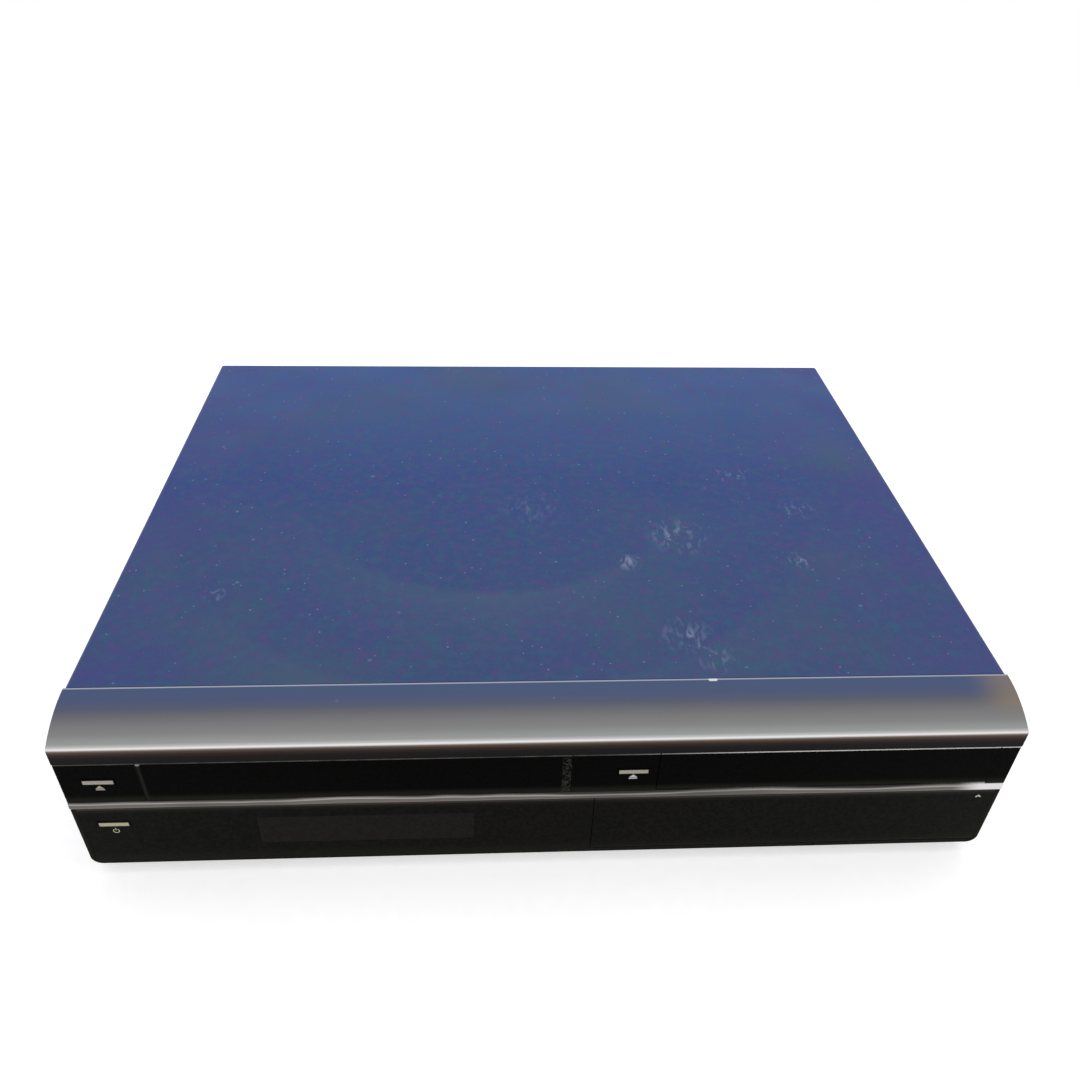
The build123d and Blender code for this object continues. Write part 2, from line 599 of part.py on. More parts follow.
def front_button(place):
    """A key with a raised bar, a collar behind the wall and a stem for its switch."""
    outline = Pos(place[0], place[1]) * button_outline(0)
    key = plate_at(outline, FACE_Y - BUTTON_PROUD, BEZEL_BACK + CLEAR - FACE_Y + BUTTON_PROUD)
    collar = Pos(place[0], place[1]) * Rectangle(BUTTON_WIDTH + 4, BUTTON_HEIGHT + 4)
    key += plate_at(collar, BEZEL_BACK + CLEAR, COLLAR)
    bar_x = (place[0] - BUTTON_WIDTH / 2 + 0.8, place[0] + BUTTON_WIDTH / 2 - 0.8)
    bar_top = place[1] + BUTTON_HEIGHT / 2 - 0.8
    key += block(bar_x, (FRONT_Y, FACE_Y), (bar_top - BUTTON_BAR, bar_top))
    root = BEZEL_BACK + COLLAR
    return key + lengthwise(STEM, (root, root + STEM_LENGTH), place[0], place[1])


def switch(place):
    """A small push switch on the front of a board."""
    side = SWITCH_SIDE / 2
    body = block(about(place[0], side), (SWITCH_Y + 1, BOARD_Y), about(place[1], side))
    return body + lengthwise(STEM, (SWITCH_Y, SWITCH_Y + 1), place[0], place[1])


def front_board():
    """The board behind the lower panel, with the power switch, chips and the display's driver."""
    board = block(FRONT_BOARD_X, (BOARD_Y, BOARD_Y + BOARD), FRONT_BOARD_Z) + switch(POWER)
    for chip_x in (WINDOW_X - 40, WINDOW_X, WINDOW_X + 40):
        board += block((chip_x - 7, chip_x + 7), (BOARD_Y + BOARD, BOARD_Y + BOARD + 2), (24, 38))
    return board


def eject_board():
    x = (-HALF + 2 * WALL + 1, SLOT_LEFT - PLATE - CLEAR)
    return block(x, (BOARD_Y, BOARD_Y + BOARD), (BAND_BOTTOM + 2, BAND_TOP)) + switch(EJECT)


def disc_button_board():
    x = (SLOT_RIGHT + PLATE + CLEAR, DRIVE_X - DRIVE_HALF - 2)
    return block(x, (BOARD_Y, BOARD_Y + BOARD), (BAND_BOTTOM + 2, BAND_TOP)) + switch(DISC_BUTTON)


def display_module():
    """The sealed glass display, with its pins into the front board."""
    half = WINDOW_WIDTH / 2 - 3
    z = (WINDOW_BOTTOM + 2, WINDOW_BOTTOM + WINDOW_HEIGHT - 2)
    glass = block((WINDOW_X - half, WINDOW_X + half), (WALL_Y + CLEAR, WALL_Y + CLEAR + DISPLAY_DEPTH), z)
    glass = fillet(glass.edges().filter_by(Axis.Y), 1.0)
    for column in range(DISPLAY_PINS):
        x = WINDOW_X + (column - (DISPLAY_PINS - 1) / 2) * (2 * half - 6) / (DISPLAY_PINS - 1)
        glass += block((x - 0.4, x + 0.4), (WALL_Y + DISPLAY_DEPTH, BOARD_Y), (z[0] + 1, z[0] + 1.8))
    return glass


JACK_Z = SLEEVE_Z[0] + FRAME + 9.0
KEY_Z = SLEEVE_Z[1] - FRAME - 5.5
JACK_X = [DOOR_LEFT + 24 + JACK_PITCH * place for place in range(4)]
CARD_X = DOOR_LEFT + 98.0
DV_X = DOOR_LEFT + 134.0
USB_X = DOOR_LEFT + 158.0
KEY_X = [DOOR_LEFT + 30 + KEY_PITCH * place for place in range(3)]


def jack_panel():
    """The plate at the back of the recess, holed for the sockets and the keys."""
    plate = block(SLEEVE_X, (FASCIA_Y, FASCIA_Y + FASCIA), SLEEVE_Z)
    plate -= [lengthwise(JACK_RADIUS + CLEAR, (FASCIA_Y - 1, FASCIA_Y + 3), x, JACK_Z) for x in JACK_X]
    mouths = ((CARD_X, CARD_WIDTH, CARD_HEIGHT), (DV_X, DV_WIDTH, DV_HEIGHT), (USB_X, USB_WIDTH, USB_HEIGHT))
    for x, width, height in mouths:
        plate -= block(
            (x - width / 2 - CLEAR, x + width / 2 + CLEAR),
            (FASCIA_Y - 1, FASCIA_Y + 3),
            (JACK_Z - height / 2 - CLEAR, JACK_Z + height / 2 + CLEAR),
        )
    for x in KEY_X:
        hole = Pos(x, KEY_Z) * RectangleRounded(KEY_WIDTH + SEAM, KEY_HEIGHT + SEAM, 1.2)
        plate -= plate_at(hole, FASCIA_Y - 1, FASCIA + 2)
    return plate


def front_jacks():
    """Four round sockets in the moulding that joins them."""
    body_y = (FASCIA_Y + FASCIA, FASCIA_Y + FASCIA + JACK_BODY)
    body = block((JACK_X[0] - 6, JACK_X[-1] + 6), body_y, (SLEEVE_Z[0], JACK_Z + 6))
    reach = (FASCIA_Y - JACK_PROUD, FASCIA_Y + FASCIA + 1)
    body += [lengthwise(JACK_RADIUS, reach, x, JACK_Z) for x in JACK_X]
    return body - [lengthwise(JACK_RADIUS - 0.7, (FASCIA_Y - 9, FASCIA_Y + 3), x, JACK_Z) for x in JACK_X]


def socket_box(x, width, height, depth, wall):
    """A metal-shelled socket whose mouth is flush with the recess plate."""
    z = (JACK_Z - height / 2, JACK_Z + height / 2)
    shell = block((x - width / 2, x + width / 2), (FASCIA_Y, FASCIA_Y + depth), z)
    mouth_z = (z[0] + wall, z[1] - wall)
    return shell - block(about(x, width / 2 - wall), (FASCIA_Y - 1, FASCIA_Y + depth - 2), mouth_z)


def card_slot():
    return socket_box(CARD_X, CARD_WIDTH, CARD_HEIGHT, CARD_DEPTH, 0.5)


def dv_and_usb_sockets():
    dv = socket_box(DV_X, DV_WIDTH, DV_HEIGHT, 10.0, 0.5)
    dv += block((DV_X - 1.5, DV_X + 1.5), (FASCIA_Y + 1, FASCIA_Y + 9), (JACK_Z - 0.4, JACK_Z + 0.6))
    usb = socket_box(USB_X, USB_WIDTH, USB_HEIGHT, 14.0, 0.5)
    usb += block((USB_X - 5, USB_X + 5), (FASCIA_Y + 1, FASCIA_Y + 13), (JACK_Z - 0.2, JACK_Z + 1.4))
    return dv, usb


def control_board():
    """The board that carries the keys' switches and the sockets behind the recess."""
    y = FASCIA_Y + FASCIA + KEY_DEPTH
    board = block((KEY_X[0] - 14, KEY_X[-1] + 14), (y, y + BOARD), (KEY_Z - 6, SLEEVE_Z[1]))
    side = SWITCH_SIDE / 2
    for x in KEY_X:
        board += block((x - side, x + side), (y - 3, y), (KEY_Z - side, KEY_Z + side))
        board += lengthwise(STEM / 2, (y - 3.6, y - 3), x, KEY_Z)
    for x in (KEY_X[0] - 10.4, KEY_X[-1] + 10.4):
        board += block((x - POST, x + POST), (FASCIA_Y + FASCIA, y), (KEY_Z - POST, KEY_Z + POST))
    return board


def control_key(x):
    """A rounded key in the recess, with a collar behind the plate."""
    outline = Pos(x, KEY_Z) * RectangleRounded(KEY_WIDTH, KEY_HEIGHT, 1.0)
    key = plate_at(outline, FASCIA_Y - KEY_PROUD, FASCIA + KEY_PROUD + CLEAR)
    collar = Pos(x, KEY_Z) * Rectangle(KEY_WIDTH + 2, KEY_HEIGHT + 2)
    key += plate_at(collar, FASCIA_Y + FASCIA + CLEAR, 1.2)
    back = FASCIA_Y + FASCIA
    return key + lengthwise(STEM, (back + 1, back + KEY_DEPTH - 3.7 - KEY_TRAVEL), x, KEY_Z)


def front_boards():
    """The three boards behind the front: display and power, cassette eject, and disc open."""
    return Compound([front_board(), eject_board(), disc_button_board()])


def front_sockets():
    """The sockets in the recess, and the board that they and the keys' switches stand on."""
    return Compound([front_jacks(), card_slot(), *dv_and_usb_sockets(), control_board()])


# Disc drive

RACK_X = DRIVE_X - TRAY_HALF + RACK_INSET
PINION_X = RACK_X + PINION_MODULE * PINION_TEETH / 2
PINION_Y = FACE_Y + PINION_SET_BACK
PULLEY_X = PINION_X + WHEEL_MODULE * (WHEEL_TEETH + SMALL_TEETH) / 2
MOTOR_X = PULLEY_X + BELT_SPAN
MOTOR_Y = PINION_Y + MOTOR_SET_BACK
RACK_Z = (TRAY_Z[0] - RACK_HEIGHT, TRAY_Z[0])
WHEEL_Z = (DECK_Z[1] + CLEAR, DECK_Z[1] + CLEAR + 2.4)
BELT_Z = WHEEL_Z[1] + 1.2
TABLE_TOP = TRAY_Z[0] + TRAY_FLOOR + 1.2
CLAMP_Z = TRAY_Z[1] + CLEAR
BRIDGE_Z = CLAMP_Z + 5.0
TRAVERSE_Z = (DECK_Z[0] - 8.0, DECK_Z[0] - 8.0 + DECK)
RAIL_HEIGHT = TRAVERSE_Z[1] + 4.0
RACK_TEETH = round(TRAY_TRAVEL / (pi * PINION_MODULE) + 2.7)
PICKUP_Y = SPINDLE_Y + TURNTABLE_RADIUS + 2.0
TRAVERSE_Y = (SPINDLE_Y - 20.0, PICKUP_Y + PICKUP_LENGTH + PICKUP_TRAVEL + 12.0)


def spur_gear(module, teeth, height, phase=0.0, steps=3):
    """A spur gear with involute flanks and a tooth centred at the phase angle, in degrees."""
    pitch = module * teeth / 2
    base = pitch * cos(radians(20))
    outer = pitch + module * 0.95
    root = pitch - module * 1.2
    start = max(base, root)
    involute = tan(radians(20)) - radians(20)
    half_tooth = pi / (2 * teeth) - BACKLASH / (2 * pitch) + involute
    flank = []
    for step in range(steps):
        radius = start + (outer - start) * step / (steps - 1)
        angle = acos(base / radius)
        flank.append((radius, half_tooth - (tan(angle) - angle)))
    points = []
    for tooth in range(teeth):
        middle = radians(phase) + 2 * pi * tooth / teeth
        low = flank[0][1]
        rise = [(root, -low)] + [(r, -a) for r, a in flank]
        sides = rise + [(r, -a) for r, a in reversed(rise)]
        points += [(r * cos(middle + a), r * sin(middle + a)) for r, a in sides]
    return extrude(make_face(Polyline(*points, close=True)), height)


def rack(module, teeth, height, first):
    """A rack along Y whose teeth point to +X, with its pitch line at x = 0 and a gap at y = first."""
    depth = 1.2 * module
    tip = 0.95 * module
    slope = tan(radians(20))
    half = pi * module / 4 - BACKLASH / 2
    points = [(-RACK_WIDTH, first)]
    for tooth in range(teeth):
        middle = first + (tooth + 0.5) * pi * module
        points += [
            (-depth, middle - half - depth * slope),
            (tip, middle - half + tip * slope),
            (tip, middle + half - tip * slope),
            (-depth, middle + half + depth * slope),
        ]
    points.append((-RACK_WIDTH, first + teeth * pi * module))
    return extrude(make_face(Polyline(*points, close=True)), height)


def drive_base():
    """The moulded tub: deck, walls with tray guides, gear posts and the opening for the traverse."""
    x = (DRIVE_X - DRIVE_HALF, DRIVE_X + DRIVE_HALF)
    tub = block(x, DRIVE_Y, (DECK_Z[0], BRIDGE_Z))
    room = (x[0] + DRIVE_WALL, x[1] - DRIVE_WALL)
    tub -= block(room, (DRIVE_Y[0] - 1, DRIVE_Y[1] - DRIVE_WALL), (DECK_Z[1], HEIGHT))
    opening_x = (DRIVE_X - TRAVERSE_HALF - 2, DRIVE_X + TRAVERSE_HALF + 2)
    opening_y = (TRAVERSE_Y[0] - 2, TRAVERSE_Y[1] + 2)
    opening = block(opening_x, opening_y, (DECK_Z[0] - 1, DECK_Z[1] + 1))
    tub -= fillet(opening.edges().filter_by(Axis.Z), 4.0)
    # Ledges carry the tray, and lips above its rim keep it level when it is out.
    for side in (-1, 1):
        wall = DRIVE_X + side * (DRIVE_HALF - DRIVE_WALL)
        ledge = sorted((wall, DRIVE_X + side * (TRAY_HALF - TRAY_GUIDE)))
        lip = sorted((wall, DRIVE_X + side * (TRAY_HALF - 1.5)))
        for y in (DRIVE_Y[0] + 4, DRIVE_Y[0] + 50, DRIVE_Y[0] + 100):
            tub += block(ledge, (y, y + 22), (DECK_Z[1] - 0.5, TRAY_Z[0] - CLEAR))
        for y in (DRIVE_Y[0] + 8, DRIVE_Y[0] + 54):
            tub += block(lip, (y, y + 14), (TRAY_Z[1] + CLEAR, TRAY_Z[1] + CLEAR + 2))
        screw_x = DRIVE_X + side * (DRIVE_HALF + 4)
        for y in (DRIVE_Y[0] + 30, DRIVE_Y[1] - 20):
            lug = sorted((DRIVE_X + side * (DRIVE_HALF - 1), screw_x + side * 4))
            tub += block(lug, (y - 5, y + 5), (DECK_Z[0], DECK_Z[0] + 3))
            tub -= upright(1.8, (DECK_Z[0] - 1, DECK_Z[0] + 4), screw_x, y)
        lug = sorted((DRIVE_X + side * (TRAVERSE_HALF + 1), DRIVE_X + side * (TRAVERSE_HALF + 5.4)))
        lug = block(lug, (PIVOT_Y - 4, PIVOT_Y + 4), (PIVOT_Z - 3, DECK_Z[0] + 0.5))
        tub += lug - crosswise(TRAVERSE_PIN + PIN_CLEAR, (-WIDTH, WIDTH), PIVOT_Y, PIVOT_Z)
    tub += upright(AXLE, (DECK_Z[1] - 0.5, RACK_Z[1] - 0.6), PINION_X, PINION_Y)
    tub += upright(AXLE, (DECK_Z[1] - 0.5, BELT_Z + BELT + 0.6), PULLEY_X, PINION_Y)
    return tub - upright(MOTOR_RADIUS + CLEAR, (DECK_Z[0] - 1, DECK_Z[1] + 1), MOTOR_X, MOTOR_Y)


def drive_gear():
    """The large wheel under the pinion that moves the tray's rack."""
    wheel = Pos(0, 0, WHEEL_Z[0]) * spur_gear(WHEEL_MODULE, WHEEL_TEETH, WHEEL_Z[1] - WHEEL_Z[0])
    hub = upright(PINION_MODULE * PINION_TEETH / 2 - 2, (WHEEL_Z[1], RACK_Z[0] + CLEAR))
    teeth = spur_gear(PINION_MODULE, PINION_TEETH, RACK_HEIGHT - 2 * CLEAR, 180)
    pinion = Pos(0, 0, RACK_Z[0] + CLEAR) * teeth
    gear = wheel + hub + pinion
    return Pos(PINION_X, PINION_Y, 0) * (gear - upright(AXLE + PIN_CLEAR, (0, HEIGHT)))


def grooved_pulley(radius, middle):
    """A pulley with a groove for a square belt."""
    half = BELT / 2
    outline = [
        (0, middle - half - 0.8),
        (radius + 0.9, middle - half - 0.8),
        (radius + 0.9, middle - half - 0.2),
        (radius, middle - half),
        (radius, middle + half),
        (radius + 0.9, middle + half + 0.2),
        (radius + 0.9, middle + half + 0.8),
        (0, middle + half + 0.8),
    ]
    return turned(outline)


def pulley_gear():
    """The belt pulley with the small gear that turns the large wheel."""
    teeth = spur_gear(WHEEL_MODULE, SMALL_TEETH, WHEEL_Z[1] - WHEEL_Z[0], 180 / SMALL_TEETH)
    gear = Pos(0, 0, WHEEL_Z[0]) * teeth
    gear += grooved_pulley(PULLEY_RADIUS, BELT_Z + BELT / 2)
    gear += upright(AXLE + 1.5, (WHEEL_Z[1] - CLEAR, BELT_Z))
    return Pos(PULLEY_X, PINION_Y, 0) * (gear - upright(AXLE + PIN_CLEAR, (0, HEIGHT)))


def motor_can(radius, length, shaft, reach):
    """A small motor standing on its end: a flatted can, a boss and its shaft."""
    can = upright(radius, (-length, 0))
    can = chamfer(can.edges().group_by(Axis.Z)[0], 1.0)
    can &= Box(4 * radius, 1.7 * radius, 3 * length)
    return can + upright(3, (0, 1)) + upright(shaft, (0, reach))


def tray_motor():
    """The motor that moves the tray, hung in the deck by its can, with its pulley and belt."""
    place = Pos(MOTOR_X, MOTOR_Y, 0)
    body = motor_can(MOTOR_RADIUS, 14.0, 1.0, BELT_Z - DECK_Z[1])
    flange = upright(MOTOR_RADIUS + 2, (0, 0.8))
    pulley = grooved_pulley(MOTOR_PULLEY_RADIUS, BELT_Z + BELT / 2)
    motor = place * (Pos(0, 0, DECK_Z[1]) * (body + flange) + pulley)
    return Compound([motor, tray_belt()])


def belt(place_a, radius_a, place_b, radius_b, z, thickness, play):
    """A square belt round two pulleys, standing a little off their grooves."""

    def outline(extra):
        pair = Pos(*place_a) * Circle(radius_a + extra) + Pos(*place_b) * Circle(radius_b + extra)
        return make_hull(pair.edges())

    return Pos(0, 0, z) * extrude(outline(play + thickness) - outline(play), thickness)


def tray_belt():
    place_b = (MOTOR_X, MOTOR_Y)
    return belt((PULLEY_X, PINION_Y), PULLEY_RADIUS, place_b, MOTOR_PULLEY_RADIUS, BELT_Z, BELT, 0.1)


def disc_tray():
    """The tray: two disc recesses, finger cut-outs, a slot for the pickup, and the rack below."""
    x = (DRIVE_X - TRAY_HALF, DRIVE_X + TRAY_HALF)
    y = (WALL_Y, WALL_Y + TRAY_LENGTH)
    tray = block(x, y, TRAY_Z)
    tray = fillet(tray.edges().filter_by(Axis.Z).group_by(Axis.Y)[-1], 6.0)
    floor = TRAY_Z[0] + TRAY_FLOOR
    tray -= upright(DISC_RADIUS + DISC_PLAY, (floor, HEIGHT), DRIVE_X, SPINDLE_Y)
    tray -= upright(SMALL_DISC_RADIUS + DISC_PLAY, (floor - 1.2, HEIGHT), DRIVE_X, SPINDLE_Y)
    tray -= upright(TURNTABLE_RADIUS + 5, (0, HEIGHT), DRIVE_X, SPINDLE_Y)
    tray -= block((DRIVE_X - SLOT_HALF, DRIVE_X + SLOT_HALF), (SPINDLE_Y, y[1] + 1), (0, HEIGHT))
    for side in (-1, 1):
        rest = Pos(DRIVE_X + side * DISC_RADIUS, SPINDLE_Y, floor + 10)
        tray -= rest * Box(9, 34, 20)
        tray -= block(
            sorted((DRIVE_X + side * (TRAY_HALF - 3), DRIVE_X + side * (TRAY_HALF - 12))),
            (y[0] + 12, y[0] + 26),
            (floor, HEIGHT),
        )
    rail = rack(PINION_MODULE, RACK_TEETH, RACK_HEIGHT, 0)
    return tray + Pos(RACK_X, PINION_Y - 2 * pi * PINION_MODULE, RACK_Z[0]) * rail


def tray_front():
    """The tray's own front, with two bright edges and clips onto the tray."""
    x = (TRAY_LEFT + SEAM, TRAY_RIGHT - SEAM)
    front = block(x, (FACE_Y, WALL_Y), (BAND_BOTTOM, BAND_TOP))
    edges = front.edges().filter_by(Axis.X).group_by(Axis.Y)[0]
    front = chamfer(edges, BRIGHT_EDGE)
    front -= block((x[0] + 6, x[1] - 6), (WALL_Y - 1, WALL_Y + 1), (TRAY_Z[1] + 2, BAND_TOP - 2))
    return front


def clamp_bridge():
    """The plate over the tub that carries the clamper, with folded edges."""
    x = (DRIVE_X - DRIVE_HALF, DRIVE_X + DRIVE_HALF)
    y = (SPINDLE_Y - 22, SPINDLE_Y + 22)
    plate = block(x, y, (BRIDGE_Z, BRIDGE_Z + SHEET))
    plate += [block(x, (edge, edge + SHEET), (BRIDGE_Z, BRIDGE_Z + 4)) for edge in (y[0], y[1] - SHEET)]
    return plate - upright(CLAMPER_RADIUS - 4, (BRIDGE_Z - 1, BRIDGE_Z + 2), DRIVE_X, SPINDLE_Y)


def clamper():
    """The magnetic clamper that hangs in the bridge by its collar."""
    neck = CLAMPER_RADIUS - 4 - CLEAR
    outline = [
        (0, CLAMP_Z + CLEAR),
        (CLAMPER_RADIUS - 3, CLAMP_Z + CLEAR),
        (CLAMPER_RADIUS - 3, CLAMP_Z),
        (CLAMPER_RADIUS, CLAMP_Z),
        (CLAMPER_RADIUS, CLAMP_Z + 1.6),
        (neck, CLAMP_Z + 2.2),
        (neck, BRIDGE_Z + SHEET + CLEAR),
        (CLAMPER_RADIUS - 2, BRIDGE_Z + SHEET + CLEAR),
        (CLAMPER_RADIUS - 2, BRIDGE_Z + SHEET + CLEAR + 1.2),
        (0, BRIDGE_Z + SHEET + CLEAR + 1.2),
    ]
    return Pos(DRIVE_X, SPINDLE_Y, 0) * turned(outline)


PIVOT_Y = TRAVERSE_Y[1] - 4.0
PIVOT_Z = TRAVERSE_Z[0] + 2.0
SCREW_X = DRIVE_X - RAIL_SPREAD - 6.0


def traverse_plate():
    """The sheet that carries the spindle, the rails and the pickup, with its pivots at the rear."""
    x = (DRIVE_X - TRAVERSE_HALF, DRIVE_X + TRAVERSE_HALF)
    plate = block(x, TRAVERSE_Y, TRAVERSE_Z)
    plate = fillet(plate.edges().filter_by(Axis.Z), 3.0)
    hole_y = (PICKUP_Y + 6, TRAVERSE_Y[1] - 16)
    plate -= block((DRIVE_X - 13, DRIVE_X + 13), hole_y, (TRAVERSE_Z[0] - 1, TRAVERSE_Z[1] + 1))
    for side in (-1, 1):
        rail_x = DRIVE_X + side * RAIL_SPREAD
        for y in (TRAVERSE_Y[0] + 1, TRAVERSE_Y[1] - 11):
            clamp = block((rail_x - 3.4, rail_x + 3.4), (y, y + 5), (TRAVERSE_Z[1], RAIL_HEIGHT + 3))
            plate += clamp
        pin_x = sorted((DRIVE_X + side * (TRAVERSE_HALF - 4), DRIVE_X + side * (TRAVERSE_HALF + 5)))
        plate += crosswise(TRAVERSE_PIN, pin_x, PIVOT_Y, PIVOT_Z)
        ear_x = sorted((DRIVE_X + side * (TRAVERSE_HALF - 3), DRIVE_X + side * TRAVERSE_HALF))
        plate += block(ear_x, (PIVOT_Y - 3, PIVOT_Y + 3), (TRAVERSE_Z[0], PIVOT_Z + 2.4))
    for y in (TRAVERSE_Y[0] + 1, TRAVERSE_Y[1] - 11):
        bearing = block((SCREW_X - 3, SCREW_X + 2.6), (y, y + 3), (TRAVERSE_Z[1], RAIL_HEIGHT + 3))
        plate += bearing - lengthwise(1 + PIN_CLEAR, (y - 1, y + 4), SCREW_X, RAIL_HEIGHT)
    return plate


def pickup_rails():
    y = (TRAVERSE_Y[0] + 6, TRAVERSE_Y[1] - 11)
    return [lengthwise(RAIL_RADIUS, y, DRIVE_X + side * RAIL_SPREAD, RAIL_HEIGHT) for side in (-1, 1)]


def optical_pickup():
    """The sled with its bushes, lens holder, laser block and the arm on the lead screw."""
    y = (PICKUP_Y, PICKUP_Y + PICKUP_LENGTH)
    z = (TRAVERSE_Z[1] + 1, RAIL_HEIGHT + 6)
    sled = block((DRIVE_X - 16, DRIVE_X + 16), y, z)
    sled = chamfer(sled.edges().filter_by(Axis.Z), 3.0)
    middle_y = (y[0] + 4, y[1] - 4)
    for side in (-1, 1):
        bush_x = sorted((DRIVE_X + side * 14, DRIVE_X + side * (RAIL_SPREAD + 3)))
        sled += block(bush_x, middle_y, (RAIL_HEIGHT - 2.8, RAIL_HEIGHT + 3))
        rail_x = DRIVE_X + side * RAIL_SPREAD
        sled -= lengthwise(RAIL_RADIUS + PIN_CLEAR, (y[0] - 1, y[1] + 1), rail_x, RAIL_HEIGHT)
    lens_y = PICKUP_Y + 9
    sled += block((DRIVE_X - 9, DRIVE_X + 9), (lens_y - 6, lens_y + 9), (z[1] - 1, z[1] + 4))
    sled += upright(4.0, (z[1] + 3, z[1] + 6), DRIVE_X, lens_y)
    dome = Pos(DRIVE_X, lens_y, z[1] + 6) * Sphere(2.6)
    sled += dome
    nut_x = (SCREW_X + LEAD_SCREW_RADIUS + CLEAR, DRIVE_X - RAIL_SPREAD - 1)
    return sled + block(nut_x, (y[0] + 8, y[0] + 18), (RAIL_HEIGHT + 1.8, RAIL_HEIGHT + 3))


def lead_screw():
    """The screw that draws the sled along, drawn with its thread as close rings."""
    y = (TRAVERSE_Y[0] + 4.4, TRAVERSE_Y[1] - 11.4)
    outline = [(0, 0), (1, 0), (1, 4), (LEAD_SCREW_RADIUS, 4)]
    length = y[1] - y[0]
    return Pos(SCREW_X, y[0] - 3.4, RAIL_HEIGHT) * Rot(-90, 0, 0) * turned(
        outline + [(LEAD_SCREW_RADIUS, length + 2.8), (1, length + 2.8), (1, length + 6.8), (0, length + 6.8)]
    )


def sled_motor():
    """The small motor behind the lead screw."""
    y = TRAVERSE_Y[1] - 7.4
    can = lengthwise(4.0, (y, y + 7), SCREW_X, RAIL_HEIGHT)
    return can + block((SCREW_X - 4, SCREW_X + 4), (y, y + 2), (TRAVERSE_Z[1], RAIL_HEIGHT))


def spindle_motor():
    """The flat motor under the turntable, on its small board."""
    seat = (TRAVERSE_Z[1], TRAVERSE_Z[1] + 1)
    base = block(about(DRIVE_X, 15), (SPINDLE_Y - 15, SPINDLE_Y + 14), seat)
    base += upright(TURNTABLE_RADIUS - 3, (TRAVERSE_Z[1] + 1, TRAVERSE_Z[1] + 10), DRIVE_X, SPINDLE_Y)
    return base - upright(1.5 + PIN_CLEAR, (TRAVERSE_Z[1] + 2, HEIGHT), DRIVE_X, SPINDLE_Y)


def traverse():
    """The traverse as it is fitted: the plate, both rails and both motors."""
    return Compound([traverse_plate(), *pickup_rails(), sled_motor(), spindle_motor()])


def turntable():
    """The turned platter, rotor and centring cone on the spindle."""
    rotor = TRAVERSE_Z[1] + 10 + CLEAR
    outline = [
        (0, TRAVERSE_Z[1] + 2 + CLEAR),
        (1.5, TRAVERSE_Z[1] + 2 + CLEAR),
        (1.5, rotor),
        (TURNTABLE_RADIUS - 1, rotor),
        (TURNTABLE_RADIUS - 1, rotor + 4),
        (TURNTABLE_RADIUS - 6, rotor + 5),
        (TURNTABLE_RADIUS - 6, TABLE_TOP - 2.4),
        (TURNTABLE_RADIUS, TABLE_TOP - 2.0),
        (TURNTABLE_RADIUS, TABLE_TOP),
        (HUB_RADIUS, TABLE_TOP),
        (HUB_RADIUS, TABLE_TOP + DISC_THICKNESS),
        (HUB_RADIUS - 2.5, CLAMP_Z - CLEAR),
        (0, CLAMP_Z - CLEAR),
    ]
    return Pos(DRIVE_X, SPINDLE_Y, 0) * turned(outline)


def drive_brackets():
    """The sheet brackets that hold the drive over the hard disk, and the hard disk's cradle."""
    y = (DRIVE_Y[0] + 24, DRIVE_Y[1] - 14)
    sides = []
    for side in (-1, 1):
        near = DRIVE_X + side * (DRIVE_HALF + SHEET / 2)
        web_x = sorted((near, near + side * SHEET))
        foot_x = sorted((near, near + side * 8))
        sheet = block(web_x, y, (FLOOR_Z, DECK_Z[0]))
        sheet -= [
            Pos(near, y[0] + share * (y[1] - y[0]), (FLOOR_Z + DECK_Z[0]) / 2) * Box(6, 34, 20)
            for share in (0.3, 0.7)
        ]
        sheet += block(foot_x, y, (FLOOR_Z, FLOOR_Z + SHEET))
        sides.append(sheet + block(foot_x, y, (DECK_Z[0] - SHEET, DECK_Z[0])))
    return Compound([*sides, hard_drive_tray()])


def hard_drive():
    """The sealed hard disk: cast base, pressed lid with its spindle boss, and the board below."""
    x = (DRIVE_X - HDD_WIDTH / 2, DRIVE_X + HDD_WIDTH / 2)
    y = (HDD_Y, HDD_Y + HDD_LENGTH)
    bottom = FLOOR_Z + HDD_RAISE
    body = block(x, y, (bottom + 2, bottom + HDD_HEIGHT - 1.5))
    body = fillet(body.edges().filter_by(Axis.Z), 3.0)
    body += block((x[0] + 5, x[1] - 5), (y[0] + 8, y[1] - 4), (bottom, bottom + 2))
    lid = block((x[0] + 2, x[1] - 2), (y[0] + 3, y[1] - 3), (bottom + 10, bottom + HDD_HEIGHT - 0.8))
    body += fillet(lid.edges().filter_by(Axis.Z), 12.0)
    body += upright(16, (bottom + 10, bottom + HDD_HEIGHT), DRIVE_X, y[0] + 52)
    return body + upright(9, (bottom + 10, bottom + HDD_HEIGHT), DRIVE_X + 26, y[1] - 34)


def hard_drive_tray():
    """The sheet cradle that holds the hard disk off the chassis."""
    x = (DRIVE_X - HDD_WIDTH / 2 - SHEET, DRIVE_X + HDD_WIDTH / 2 + SHEET)
    y = (HDD_Y + 4, HDD_Y + HDD_LENGTH - 4)
    cradle = block(x, y, (FLOOR_Z, FLOOR_Z + HDD_RAISE + 12))
    cradle -= block((x[0] + SHEET, x[1] - SHEET), (y[0] - 1, y[1] + 1), (FLOOR_Z + HDD_RAISE, HEIGHT))
    hollow = block((x[0] + 12, x[1] - 12), (y[0] - 1, y[1] + 1), (FLOOR_Z - 1, FLOOR_Z + HDD_RAISE - SHEET))
    window = block((x[0] + 22, x[1] - 22), (y[0] + 20, y[1] - 20), (FLOOR_Z - 1, FLOOR_Z + HDD_RAISE + 1))
    return cradle - hollow - window


# Cassette deck

